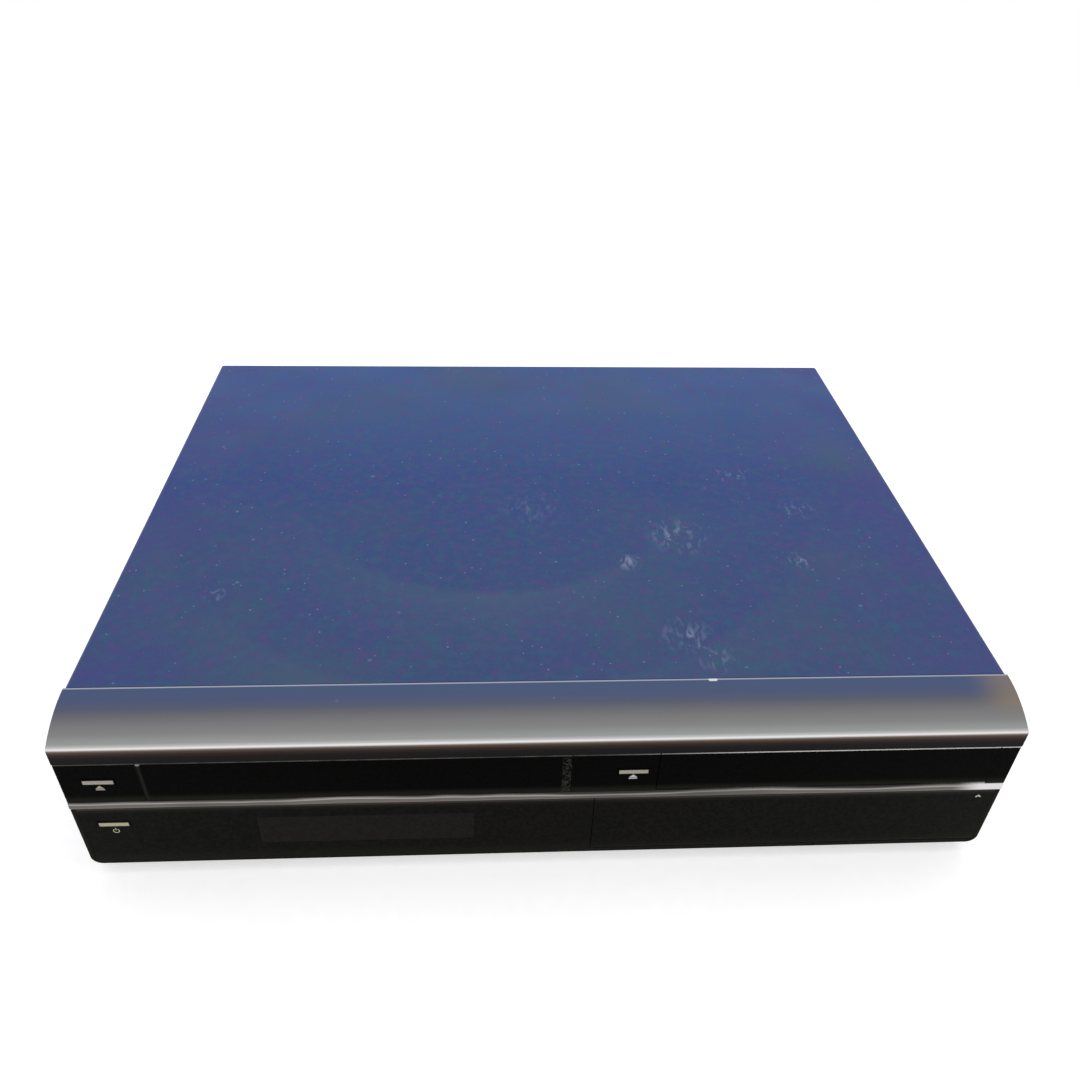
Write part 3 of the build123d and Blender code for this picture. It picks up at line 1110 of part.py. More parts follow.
PLATE_X = (SLOT_LEFT - 4, SLOT_RIGHT + 4)
PLATE_Y = (SEAM_Y - 8, DRUM_Y + DRUM_RADIUS + 26)
REEL_Y = CASSETTE_BACK - REEL_TO_LID
REEL_X = (SLOT_X - REEL_SPREAD, SLOT_X + REEL_SPREAD)
BASKET_HALF = CASSETTE_WIDTH / 2 + 1.0
BASKET_Z = (STRIP_TOP - BASKET_SHEET - 1, STRIP_TOP + CASSETTE_HEIGHT + 1)
BASKET_Y = (CASSETTE_BACK - BASKET_IN - BASKET_LENGTH, CASSETTE_BACK - BASKET_IN)
GUIDE_X = BASKET_HALF + BASKET_SHEET + 0.4
CAM = (SLOT_X - 70.0, DRUM_Y + 24.0)


def deck_plate():
    """The deck's steel plate on its bosses, cut out under the drum and the reels' drive."""
    plate = block(PLATE_X, PLATE_Y, DECK_PLATE_Z)
    plate = fillet(plate.edges().filter_by(Axis.Z), 5.0)
    plate -= upright(CAPSTAN_RADIUS + 2.5 + CLEAR, (0, HEIGHT), *CAPSTAN)
    for x in (SLOT_X - 26, SLOT_X + 26):
        hole = Pos(x, REEL_Y - 28, 0) * SlotOverall(40, 8)
        plate -= extrude(hole, HEIGHT)
    for x in (PLATE_X[0] + 8, PLATE_X[1] - 8):
        for y in (PLATE_Y[0] + 12, PLATE_Y[1] - 8):
            plate += block((x - POST, x + POST), (y - POST, y + POST), (FLOOR_Z, DECK_PLATE_Z[0]))
    for x in REEL_X:
        plate += upright(REEL_SHAFT, (DECK_PLATE_Z[0], DECK_PLATE_Z[1] + 14), x, REEL_Y)
    for place, height in ((PINCH_PIVOT, 13), (CAM, 7), (IDLER, 6)):
        plate += upright(DECK_PIN, (DECK_PLATE_Z[0], DECK_PLATE_Z[1] + height), *place)
    return Compound([plate, capstan_bearing()])


def basket_guides():
    """The upright side plates with the windows that lead the basket in and down."""
    y = (BASKET_Y[0] + 2, CASSETTE_BACK - 10)
    sides = []
    for side in (-1, 1):
        x = sorted((SLOT_X + side * GUIDE_X, SLOT_X + side * (GUIDE_X + 1.2)))
        sheet = block(x, y, (DECK_PLATE_Z[1], RAIL_Z))
        pin_y = BASKET_Y[0] + BASKET_LENGTH / 2
        window_y = (pin_y - BASKET_PIN - CLEAR, pin_y + BASKET_IN + BASKET_PIN + CLEAR)
        window_z = (BASKET_PIN_Z - BASKET_DOWN - BASKET_PIN - CLEAR, BASKET_PIN_Z + BASKET_PIN + CLEAR)
        sheet -= block((x[0] - 1, x[1] + 1), window_y, window_z)
        foot = sorted((SLOT_X + side * GUIDE_X, SLOT_X + side * (GUIDE_X + 7)))
        sides.append(sheet + block(foot, (y[0] + 20, y[1] - 4), (DECK_PLATE_Z[1], DECK_PLATE_Z[1] + 1)))
    bridge = block((SLOT_X - GUIDE_X, SLOT_X + GUIDE_X), (y[1] - 12, y[1]), (RAIL_Z - 1, RAIL_Z))
    return sides[0] + sides[1] + bridge


def cassette_basket():
    """The carriage that takes the cassette: a slotted floor, folded sides, a top leaf and pins."""
    x = (SLOT_X - BASKET_HALF - BASKET_SHEET, SLOT_X + BASKET_HALF + BASKET_SHEET)
    basket = block(x, BASKET_Y, BASKET_Z)
    room = (BASKET_Z[0] + BASKET_SHEET, BASKET_Z[1] - BASKET_SHEET)
    basket -= block((x[0] + BASKET_SHEET, x[1] - BASKET_SHEET), (BASKET_Y[0] - 1, BASKET_Y[1] + 1), room)
    for reel_x in REEL_X:
        slot = block(about(reel_x, HUB_SLOT), (BASKET_Y[0] - 1, REEL_Y + HUB_SLOT), (0, BASKET_Z[0] + 2))
        basket -= slot
    leaf = block(about(SLOT_X, 60), (BASKET_Y[0] + 16, BASKET_Y[1] + 1), (BASKET_Z[1] - 3, BASKET_Z[1] + 1))
    basket -= leaf
    pin_y = BASKET_Y[0] + BASKET_LENGTH / 2
    for side in (-1, 1):
        pin_x = sorted((SLOT_X + side * (BASKET_HALF + BASKET_SHEET / 2), SLOT_X + side * (GUIDE_X + 3.4)))
        basket += crosswise(BASKET_PIN, pin_x, pin_y, BASKET_PIN_Z)
    return basket


def basket_slider():
    """The loading frame over the guides: two arms whose upright slots push the basket's pins."""
    pin_y = BASKET_Y[0] + BASKET_LENGTH / 2
    y = (pin_y - SLIDER_HALF, pin_y + SLIDER_HALF)
    outer = GUIDE_X + 1.2 + 0.4
    slider = block(about(SLOT_X, outer + 1.2), y, (DECK_PLATE_Z[1] + 1 + CLEAR, RAIL_Z + 1.6))
    slider -= block((SLOT_X - outer, SLOT_X + outer), (y[0] - 1, y[1] + 1), (0, RAIL_Z + CLEAR))
    slot_y = (pin_y - BASKET_PIN - CLEAR, pin_y + BASKET_PIN + CLEAR)
    slot_z = (BASKET_PIN_Z - BASKET_DOWN - BASKET_PIN - CLEAR, BASKET_PIN_Z + BASKET_PIN + CLEAR)
    return slider - block((SLOT_X - outer - 2, SLOT_X + outer + 2), slot_y, slot_z)


def reel_table(x):
    """A reel table: a toothed rim, a brake drum and the hub with three drive ribs."""
    low = DECK_PLATE_Z[1] + CLEAR
    table = Pos(0, 0, low) * spur_gear(REEL_MODULE, REEL_TEETH, 2.0, 0, 2)
    table += upright(REEL_MODULE * REEL_TEETH / 2 - 4, (low + 2, low + 4.2))
    table += upright(6, (low + 4.2, low + 13)) + upright(4.2, (low + 13, low + 15))
    rib = block((5, 8.2), (-0.9, 0.9), (low + 6, low + 12.5))
    table += [Rot(0, 0, turn) * rib for turn in (0, 120, 240)]
    table -= upright(REEL_SHAFT + PIN_CLEAR, (0, DECK_PLATE_Z[1] + 14 + CLEAR))
    return Pos(x, REEL_Y, 0) * table


def lower_drum():
    """The fixed half of the drum on its tilted seat, with the ledge that guides the tape."""
    body = upright(DRUM_RADIUS, (0, DRUM_LOWER)) + upright(DRUM_RADIUS - 5, (-4, 0))
    body -= upright(3 + PIN_CLEAR, (-30, DRUM_LOWER + 1))
    body = DRUM_PLACE * body
    base = block(about(DRUM_X, 30), (DRUM_Y - 30, DRUM_Y + 34), (DECK_PLATE_Z[1], DECK_PLATE_Z[1] + 2))
    rise = (DECK_PLATE_Z[1], DRUM_Z)
    legs = [upright(5, rise, DRUM_X + x, DRUM_Y + y) for x, y in ((-18, 12), (18, 12), (0, -18))]
    cut = DRUM_PLACE * upright(DRUM_RADIUS + 9, (-3.9, 40))
    return body + base + (legs[0] - cut) + (legs[1] - cut) + (legs[2] - cut)


def upper_drum():
    """The turning half of the drum, with its shaft, two head windows and the rotor on top."""
    drum = upright(DRUM_RADIUS, (DRUM_LOWER + CLEAR, DRUM_LOWER + CLEAR + DRUM_UPPER))
    drum = chamfer(drum.edges().group_by(Axis.Z)[-1], 0.8)
    top = DRUM_LOWER + CLEAR + DRUM_UPPER
    drum += upright(9, (top - 0.5, top + 3)) - upright(3, (top + 1, top + 4))
    drum += upright(3, (-4 + CLEAR, DRUM_LOWER + 1))
    for turn in (0, 180):
        notch = block((DRUM_RADIUS - 2.5, DRUM_RADIUS + 1), (-3, 3), (DRUM_LOWER, DRUM_LOWER + 3))
        drum -= Rot(0, 0, turn) * notch
        tip = block((DRUM_RADIUS - 3, DRUM_RADIUS - 0.1), (-0.8, 0.8), (DRUM_LOWER + 0.4, DRUM_LOWER + 4))
        drum += Rot(0, 0, turn) * tip
    for turn in range(3):
        angle = radians(90 + 120 * turn)
        drum -= upright(2.6, (top - 3, top + 1), 21 * cos(angle), 21 * sin(angle))
    return DRUM_PLACE * drum


def tape_guide(side):
    """A guide that carries the tape round the drum: a shoe, a roller and a slanted post."""
    x = DRUM_X + side * GUIDE_PATH * sin(radians(GUIDE_START))
    y = DRUM_Y - GUIDE_PATH * cos(radians(GUIDE_START))
    low = DECK_PLATE_Z[1] + 2 + CLEAR
    shoe = Pos(x, y, 0) * (upright(5, (low, low + 4)) + upright(1, (low, low + 26)))
    roller = [(0, 8), (GUIDE_ROLLER + 1, 8), (GUIDE_ROLLER + 1, 9), (GUIDE_ROLLER, 9), (GUIDE_ROLLER, 22)]
    roller += [(GUIDE_ROLLER + 1, 22), (GUIDE_ROLLER + 1, 23.5), (0, 23.5)]
    return shoe + Pos(x, y, low) * turned(roller)


def capstan():
    """The capstan: flywheel under the deck and the ground shaft that drives the tape."""
    top = DECK_PLATE_Z[0] - 1
    outline = [
        (0, FLOOR_Z + 1),
        (1.5, FLOOR_Z + 1),
        (1.5, top - 7),
        (FLYWHEEL_RADIUS, top - 7),
        (FLYWHEEL_RADIUS, top - 4),
        (FLYWHEEL_RADIUS - 1, top - 4),
        (FLYWHEEL_RADIUS - 1, top - 2.6),
        (FLYWHEEL_RADIUS, top - 2.6),
        (FLYWHEEL_RADIUS, top - 1),
        (6, top - 1),
        (6, top),
        (CAPSTAN_RADIUS, top),
        (CAPSTAN_RADIUS, DECK_PLATE_Z[1] + 30),
        (0, DECK_PLATE_Z[1] + 30),
    ]
    return Pos(*CAPSTAN, 0) * turned(outline)


def capstan_bearing():
    """The flanged sleeve in the deck plate that the capstan turns in."""
    sleeve = upright(CAPSTAN_RADIUS + 2.5, (DECK_PLATE_Z[0], DECK_PLATE_Z[1] + 8))
    sleeve += upright(8, (DECK_PLATE_Z[1], DECK_PLATE_Z[1] + 1.5))
    return Pos(*CAPSTAN, 0) * (sleeve - upright(CAPSTAN_RADIUS + PIN_CLEAR, (0, HEIGHT)))


def pinch_arm():
    """The arm that presses its roller on the capstan."""
    low = DECK_PLATE_Z[1] + 10
    arm = Pos(PINCH_ARM / 2, 0, low) * extrude(SlotOverall(PINCH_ARM + 10, 9), 2)
    arm += upright(4, (DECK_PLATE_Z[1] + CLEAR, low + 2))
    arm += upright(1.5, (low + 2, low + 17), PINCH_ARM, 0)
    arm -= upright(DECK_PIN + PIN_CLEAR, (0, HEIGHT))
    return Compound([PINCH_PLACE * arm, pinch_roller()])


def pinch_roller():
    low = DECK_PLATE_Z[1] + 12 + CLEAR
    roller = upright(PINCH_RADIUS, (low, low + 13), PINCH_ARM, 0)
    roller = chamfer(roller.edges().filter_by(GeomType.CIRCLE), 0.6)
    return PINCH_PLACE * (roller - upright(1.5 + PIN_CLEAR, (0, HEIGHT), PINCH_ARM, 0))


def cam_gear():
    """The large gear whose slots work the guides and the arm."""
    low = DECK_PLATE_Z[1] + CLEAR
    gear = Pos(0, 0, low) * spur_gear(CAM_MODULE, CAM_TEETH, 4.0, 0, 2)
    gear += upright(5, (low + 4, low + 6))
    groove_radius = CAM_MODULE * CAM_TEETH / 2 - 5
    groove = Pos(0, 0, low + 2.5) * extrude(Circle(groove_radius) - Circle(groove_radius - 2.5), 3)
    gear -= groove & Box(200, 200, 200, align=(Align.CENTER, Align.MIN, Align.CENTER))
    return Pos(*CAM, 0) * (gear - upright(DECK_PIN + PIN_CLEAR, (0, HEIGHT)))


def deck_motor():
    """The deck's loading motor, lying on its side, with the worm on its shaft."""
    x = (CAM[0] - 22, CAM[0] + 18)
    y = CAM[1] + CAM_MODULE * CAM_TEETH / 2 + 4.5
    z = DECK_PLATE_Z[1] + 9
    can = crosswise(8, (x[0] - 24, x[0]), y, z)
    saddle = block((x[0] - 22, x[0] - 2), (y - 8, y + 8), (DECK_PLATE_Z[1], z - 3))
    return can + saddle + crosswise(1, (x[0], x[1]), y, z)


def reel_idler():
    """The swinging idler that drives one reel or the other."""
    low = DECK_PLATE_Z[1] + CLEAR
    arm = Pos(0, IDLER_ARM / 2, low + 2.4) * Rot(0, 0, 90) * extrude(SlotOverall(IDLER_ARM + 9, 8), 1.2)
    arm += upright(3.5, (low, low + 5))
    arm += upright(6.5, (low, low + 2.4), 0, IDLER_ARM)
    return Pos(*IDLER, 0) * (arm - upright(DECK_PIN + PIN_CLEAR, (0, HEIGHT)))


def tape_heads():
    """The erase head and the audio head, each on a block beside the drum."""
    low = DECK_PLATE_Z[1]
    heads = []
    for side in (-1, 1):
        x = DRUM_X + side * (DRUM_RADIUS + 24)
        y = DRUM_Y - 10
        head = block((x - 6, x + 6), (y - 5, y + 5), (low + 14, low + 29))
        head = fillet(head.edges().filter_by(Axis.Z).group_by(Axis.Y)[0], 4.0)
        heads.append(head + block((x - 8, x + 8), (y - 5, y + 9), (low, low + 14)))
    return Compound(heads)


# Power supply, boards, fan and rear sockets

BOARD_Z = (FLOOR_Z + BOARD_RAISE, FLOOR_Z + BOARD_RAISE + BOARD)
PSU_X = (-INNER_HALF + 8, SLOT_X - 8)
PSU_Y = (PLATE_Y[1] + 6, PANEL_Y - 4)
MAIN_X = (DRIVE_X - 66, INNER_HALF - 8)
MAIN_Y = (HDD_Y + HDD_LENGTH + 6, PANEL_Y - 4)
AV_X = (SLOT_X + 48, DRIVE_X - 72)
AV_Y = (FAN_Y[0] - 40, PANEL_Y - 4)


def circuit_board(x, y):
    """A level board on four square spacers."""
    board = block(x, y, BOARD_Z)
    for post_x in (x[0] + 5, x[1] - 5):
        for post_y in (y[0] + 5, y[1] - 5):
            board += block(about(post_x, POST), about(post_y, POST), (FLOOR_Z, BOARD_Z[0]))
    return board


def chip(x, y, width, depth, height):
    return block(about(x, width / 2), about(y, depth / 2), (BOARD_Z[1], BOARD_Z[1] + height))


def can(x, y, radius, height):
    """An upright capacitor."""
    return upright(radius, (BOARD_Z[1], BOARD_Z[1] + height), x, y)


def heat_sink(x, y, fins, fin_length, height):
    """A finned extrusion standing on a board."""
    width = fins * FIN_PITCH
    sink = block((x - width / 2, x + width / 2), (y - 1, y + 1), (BOARD_Z[1], BOARD_Z[1] + height))
    for fin in range(fins):
        fin_x = x + (fin + 0.5) * FIN_PITCH - width / 2
        sink += block(about(fin_x, 0.6), about(y, fin_length / 2), (BOARD_Z[1], BOARD_Z[1] + height))
    return sink


def power_board():
    """The power supply's board with its fuse, filter coil, capacitors and terminals."""
    board = circuit_board(PSU_X, PSU_Y)
    middle = (PSU_Y[0] + PSU_Y[1]) / 2
    for place in range(3):
        board += can(PSU_X[1] - 10 - 15 * place, PSU_Y[0] + 12, 5.0, 20.0)
    board += can(PSU_X[0] + 46, middle, 12.5, 34.0)
    board += chip(PSU_X[0] + 20, middle, 22, 18, 16)
    board += chip(PSU_X[1] - 14, PSU_Y[1] - 12, 20, 8, 12)
    board += crosswise(2.6, (PSU_X[0] + 8, PSU_X[0] + 28), PSU_Y[0] + 8, BOARD_Z[1] + 2)
    return Compound([board, *power_transformer(), power_heat_sink()])


def power_transformer():
    """The switching transformer: a ferrite core round a taped winding."""
    x = PSU_X[0] + 82.0
    y = (PSU_Y[0] + PSU_Y[1]) / 2
    core = chip(x, y, 34, 12, 26) - Pos(x, y, BOARD_Z[1] + 13) * Box(24, 14, 17)
    winding = Pos(x, y, BOARD_Z[1] + 13) * Box(23, 24, 16)
    return core, fillet(winding.edges().filter_by(Axis.X), 5.0)


def power_heat_sink():
    return heat_sink(PSU_X[0] + 58, PSU_Y[1] - 12, 9, 12, 30)


def main_board():
    """The main board with its processor, memory, connectors and capacitors."""
    board = circuit_board(MAIN_X, MAIN_Y)
    x = (MAIN_X[0] + MAIN_X[1]) / 2
    y = (MAIN_Y[0] + MAIN_Y[1]) / 2
    board += chip(x, y, 30, 30, 2.5)
    for place in range(4):
        board += chip(x - 42, y - 27 + 18 * place, 11, 9, 1.4)
    for place in range(2):
        board += can(x + 40 + 11 * place, y - 12 + 24 * place, 5.0, 12.0)
    board += chip(x, MAIN_Y[0] + 8, 60, 7, 8)
    return Compound([board, main_heat_sink()])


def main_heat_sink():
    """The finned sink clamped over the processor."""
    x = (MAIN_X[0] + MAIN_X[1]) / 2
    y = (MAIN_Y[0] + MAIN_Y[1]) / 2
    low = BOARD_Z[1] + 2.5
    sink = block((x - 20, x + 20), (y - 20, y + 20), (low, low + 3))
    for fin in range(9):
        fin_x = x + (fin - 4) * 4.6
        sink += block((fin_x - 0.7, fin_x + 0.7), (y - 20, y + 20), (low + 3, low + 16))
    return sink


def tuner_board():
    """The board with the tuner's screened box and the sound and picture chips."""
    board = circuit_board(AV_X, AV_Y)
    board += chip(AV_X[1] - 22, AV_Y[1] - 36, 34, 50, 14)
    board += chip(AV_X[0] + 20, AV_Y[0] + 16, 14, 14, 2)
    return board


def fan_frame():
    """The fan's square frame with its duct, hub arms and motor seat."""
    frame = block(about(FAN_X, FAN_SIZE / 2), FAN_Y, about(FAN_Z, FAN_SIZE / 2))
    frame = fillet(frame.edges().filter_by(Axis.Y), 4.0)
    frame -= lengthwise(FAN_SIZE / 2 - 2, (FAN_Y[0] - 1, FAN_Y[1] + 1), FAN_X, FAN_Z)
    hub = Pos(FAN_X, 0, FAN_Z)
    for turn in (45, 135, 225, 315):
        arm = block((0, FAN_SIZE / 2 - 1), (FAN_Y[0], FAN_Y[0] + 2), (-1.5, 1.5))
        frame += hub * Rot(0, turn, 0) * arm
    frame += lengthwise(FAN_HUB, (FAN_Y[0], FAN_Y[0] + 2), FAN_X, FAN_Z)
    return frame + lengthwise(AXLE, (FAN_Y[0] + 1, FAN_Y[1] - 3), FAN_X, FAN_Z)


def fan_rotor():
    """The rotor: a cup and pitched blades."""
    y = (FAN_Y[0] + 2 + CLEAR, FAN_Y[1] - 1)
    rotor = Pos(0, y[0], 0) * Rot(-90, 0, 0) * chamfer(
        (upright(FAN_HUB, (0, y[1] - y[0]))).edges().group_by(Axis.Z)[-1], 1.5
    )
    span = FAN_SIZE / 2 - 3
    depth = y[1] - y[0]
    blade = Rot(0, 0, 0) * Box(span - FAN_HUB + 2, 1.2, depth * 1.25)
    blade = Pos((span + FAN_HUB - 2) / 2, 0, 0) * Rot(38, 0, 0) * blade
    limits = lengthwise(span, (-depth / 2 + 0.5, depth / 2 - 0.5), 0, 0)
    for number in range(FAN_BLADES):
        turn = Rot(0, 360 * number / FAN_BLADES, 0)
        rotor += Pos(0, (y[0] + y[1]) / 2, 0) * ((turn * Rot(90, 0, 0) * blade) & limits)
    rotor -= lengthwise(AXLE + PIN_CLEAR, (y[0] - 1, FAN_Y[1] - 3 + CLEAR), 0, 0)
    return Pos(FAN_X, 0, FAN_Z) * rotor


JACK_COLUMNS = [JACK_GROUP_X + JACK_PITCH * column for column in range(4)]
JACK_ROWS = [BOARD_Z[1] + 10.0, BOARD_Z[1] + 10.0 + JACK_PITCH]


def rear_panel():
    """The folded rear panel, with the fan's grille and a hole for each socket."""
    y = (PANEL_Y, PANEL_Y + SHEET)
    reach = (y[0] - 2, y[1] + 2)
    top = HEIGHT - SHEET - CLEAR
    panel = block((-INNER_HALF, INNER_HALF), y, (FOOT_HEIGHT, top))
    panel += block((-INNER_HALF, INNER_HALF), (PANEL_Y - REAR_FOLD, PANEL_Y), (top - SHEET, top))
    panel = fillet(panel.edges().filter_by(Axis.Y).group_by(Axis.Z)[-1], COVER_BEND)
    for ring in range(GRILLE_RINGS):
        low = 8.0 + GRILLE_PITCH * ring
        band = lengthwise(low + 3.6, reach, FAN_X, FAN_Z) - lengthwise(low, reach, FAN_X, FAN_Z)
        spokes = [Pos(FAN_X, y[0], FAN_Z) * Rot(0, turn, 0) * Box(2 * FAN_SIZE, 9, 3.0) for turn in (45, 135)]
        panel -= band - spokes
    for x in JACK_COLUMNS:
        panel -= [lengthwise(JACK_RADIUS + CLEAR, reach, x, z) for z in JACK_ROWS]
    for z in (AERIAL_Z, AERIAL_Z + AERIAL_PITCH):
        panel -= lengthwise(AERIAL_RADIUS + CLEAR, reach, AERIAL_X, z)
    for x, z, width, height in (INLET, HDMI, LAN, OPTICAL):
        panel -= block(about(x, width / 2 + CLEAR), reach, about(z, height / 2 + CLEAR))
    vent = Box(VENT_WIDTH, 6 * SHEET, VENT_LENGTH)
    for column in range(8):
        panel -= Pos(-HALF * 0.66 + column * VENT_PITCH, PANEL_Y, HEIGHT - 36) * vent
    panel -= [lengthwise(SCREW_RADIUS + CLEAR / 2, reach, x, REAR_SCREW_Z) for x in REAR_SCREW_PLACES]
    return panel


def rear_sockets():
    """The round sockets in their moulding, the digital sockets and the aerial sockets."""
    return Compound([rear_jacks(), hdmi_socket(), lan_socket(), optical_socket(), aerial_sockets()])


def rear_jacks():
    """The block of round sockets at the rear, two rows high."""
    front = PANEL_Y - JACK_BODY
    sides = (JACK_COLUMNS[0] - JACK_MARGIN, JACK_COLUMNS[-1] + JACK_MARGIN)
    body = block(sides, (front, PANEL_Y), (BOARD_Z[1], JACK_ROWS[1] + JACK_MARGIN))
    for x in JACK_COLUMNS:
        for z in JACK_ROWS:
            body += lengthwise(JACK_RADIUS, (PANEL_Y - 1, REAR_Y + JACK_PROUD), x, z)
            body -= lengthwise(JACK_RADIUS - 0.7, (PANEL_Y, REAR_Y + 9), x, z)
    return body


def aerial_sockets():
    """The threaded aerial input and output, with hexagon collars."""
    sockets = []
    for step in (0, AERIAL_PITCH):
        z = AERIAL_Z + step
        place = Pos(AERIAL_X, 0, z) * Rot(-90, 0, 0)
        barrel = upright(AERIAL_RADIUS, (PANEL_Y - 8, REAR_Y + SOCKET_REACH))
        collar = Pos(0, 0, REAR_Y - SHEET) * extrude(RegularPolygon(6.2, 6), 2.0)
        hole = upright(AERIAL_RADIUS - 1.2, (REAR_Y - 1, REAR_Y + SOCKET_REACH + 1))
        centre = upright(1.8, (REAR_Y - 2, REAR_Y + SOCKET_REACH - 1))
        centre -= upright(0.6, (REAR_Y, REAR_Y + SOCKET_REACH + 1))
        sockets.append(place * (barrel + collar - hole + centre))
    top = AERIAL_Z + AERIAL_PITCH + 8
    box = block(about(AERIAL_X, 8), (PANEL_Y - 10, PANEL_Y - 7), (BOARD_Z[1], top))
    return sockets[0] + sockets[1] + box


def framed_socket(place, depth, wall, proud=0.0):
    """A rectangular socket in the rear panel, open to the rear."""
    x, z, width, height = place
    body = block(about(x, width / 2), (PANEL_Y - depth, REAR_Y - SHEET + proud), about(z, height / 2))
    return body - block(about(x, width / 2 - wall), (PANEL_Y - depth + 2, REAR_Y + 9), about(z, height / 2 - wall))


def support(place, depth):
    """The foot that stands a rear socket on its board."""
    x, z, width, height = place
    return block((x - width / 2, x + width / 2), (PANEL_Y - depth, PANEL_Y - 4), (BOARD_Z[1], z - height / 2))


def mains_inlet():
    """The two-pin inlet for a detachable lead; the lead itself isn't part of the set."""
    x, z, width, height = INLET
    body = block((x - width / 2, x + width / 2), (PANEL_Y - 14, REAR_Y), (z - height / 2, z + height / 2))
    mouth = Pos(x, z) * SlotOverall(width - 4, height - 3.5)
    body -= plate_at(mouth, PANEL_Y - 8, 20)
    body += [lengthwise(1.2, (PANEL_Y - 9, REAR_Y - 2), x + step, z) for step in (-4, 4)]
    return body + support(INLET, 14)


def hdmi_socket():
    body = framed_socket(HDMI, 12.0, 0.6)
    x, z = HDMI[:2]
    return body + block((x - 5, x + 5), (PANEL_Y - 11, PANEL_Y), (z - 0.8, z + 0.6)) + support(HDMI, 12)


def lan_socket():
    body = framed_socket(LAN, 15.0, 1.2)
    x, z, width, height = LAN
    top = z + height / 2
    body -= block(about(x, 2.5), (PANEL_Y - 12, REAR_Y + 1), (top - 2.4, top - 0.4))
    return body + support(LAN, 15)


def optical_socket():
    """The shuttered optical outlet."""
    body = framed_socket(OPTICAL, 10.0, 1.4)
    x, z = OPTICAL[:2]
    shutter = block(about(x, 4.1), (PANEL_Y - 2, PANEL_Y - 1), about(z, 4.1))
    return body + shutter + support(OPTICAL, 10)


NODES = {
    "top_cover": top_cover,
    "cover_screws": cover_screws,
    "bottom_chassis": bottom_chassis,
    "rear_panel": rear_panel,
    "feet": feet,
    "foot_pads": foot_pads,
    "front_visor": front_visor,
    "front_bezel": front_bezel,
    "trim_strip": trim_strip,
    "lower_panel": lower_panel,
    "display_window": display_window,
    "display_module": display_module,
    "front_boards": front_boards,
    "access_door": access_door,
    "cassette_flap": cassette_flap,
    "cassette_eject_button": lambda: front_button(EJECT),
    "disc_open_button": lambda: front_button(DISC_BUTTON),
    "power_button": lambda: front_button(POWER),
    "jack_panel": jack_panel,
    "front_sockets": front_sockets,
    "record_key": lambda: control_key(KEY_X[0]),
    "stop_key": lambda: control_key(KEY_X[1]),
    "play_key": lambda: control_key(KEY_X[2]),
    "drive_base": drive_base,
    "drive_gear": drive_gear,
    "pulley_gear": pulley_gear,
    "tray_motor": tray_motor,
    "disc_tray": disc_tray,
    "tray_front": tray_front,
    "clamp_bridge": clamp_bridge,
    "clamper": clamper,
    "traverse": traverse,
    "optical_pickup": optical_pickup,
    "lead_screw": lead_screw,
    "turntable": turntable,
    "drive_brackets": drive_brackets,
    "hard_drive": hard_drive,
    "deck_plate": deck_plate,
    "basket_guides": basket_guides,
    "basket_slider": basket_slider,
    "cassette_basket": cassette_basket,
    "supply_reel_table": lambda: reel_table(REEL_X[0]),
    "take_up_reel_table": lambda: reel_table(REEL_X[1]),
    "lower_drum": lower_drum,
    "upper_drum": upper_drum,
    "supply_tape_guide": lambda: tape_guide(-1),
    "take_up_tape_guide": lambda: tape_guide(1),
    "capstan": capstan,
    "pinch_arm": pinch_arm,
    "cam_gear": cam_gear,
    "deck_motor": deck_motor,
    "reel_idler": reel_idler,
    "tape_heads": tape_heads,
    "power_supply": power_board,
    "main_board": main_board,
    "tuner_board": tuner_board,
    "fan_frame": fan_frame,
    "fan_rotor": fan_rotor,
    "rear_panel_sockets": rear_sockets,
    "mains_inlet": mains_inlet,
}

os.makedirs("parts", exist_ok=True)
for name, make in NODES.items():
    export_step(make(), f"parts/{name}.step")
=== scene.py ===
# %% [markdown]
# # A disc, hard disk and cassette recorder
# The recorder's solids come from the CAD part, in metres, with X to the right, Y to the rear and Z up. This
# lesson gives each piece the finish that the real one has, adds the fine pieces that a CAD model leaves out,
# and sets a plain studio around the recorder.

# %% Load the CAD part
from math import cos, pi, radians, sin

import bmesh
import bpy
from mathutils import Matrix, Vector


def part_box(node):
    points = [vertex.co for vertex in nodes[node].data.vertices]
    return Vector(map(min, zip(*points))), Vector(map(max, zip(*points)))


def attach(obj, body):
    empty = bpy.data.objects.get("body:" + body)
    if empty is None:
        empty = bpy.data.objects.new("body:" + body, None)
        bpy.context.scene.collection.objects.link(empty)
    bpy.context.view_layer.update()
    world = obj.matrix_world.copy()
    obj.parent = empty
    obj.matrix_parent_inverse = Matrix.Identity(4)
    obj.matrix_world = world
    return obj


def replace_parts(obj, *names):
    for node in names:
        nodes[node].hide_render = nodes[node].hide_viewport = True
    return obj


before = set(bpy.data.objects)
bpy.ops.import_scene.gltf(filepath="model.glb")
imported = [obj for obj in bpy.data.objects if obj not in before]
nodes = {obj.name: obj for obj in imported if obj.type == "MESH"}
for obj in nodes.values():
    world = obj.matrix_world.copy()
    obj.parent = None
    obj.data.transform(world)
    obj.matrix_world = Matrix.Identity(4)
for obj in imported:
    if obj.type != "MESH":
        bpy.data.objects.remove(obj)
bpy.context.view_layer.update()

# %% [markdown]
# ## How finishes are made here
# A finish is a Principled surface with a little pattern in its colour, its roughness and its bump. A picture
# could hold that pattern too, but one that is worked out from the place on the piece has no seams and stays
# sharp near by. Colours are written as the hex values that a colour picker shows, and the renderer wants
# linear light, so one function turns the first into the second. A second function adds a node and joins its
# sockets.

# %% Colour and node helpers
MM = 0.001


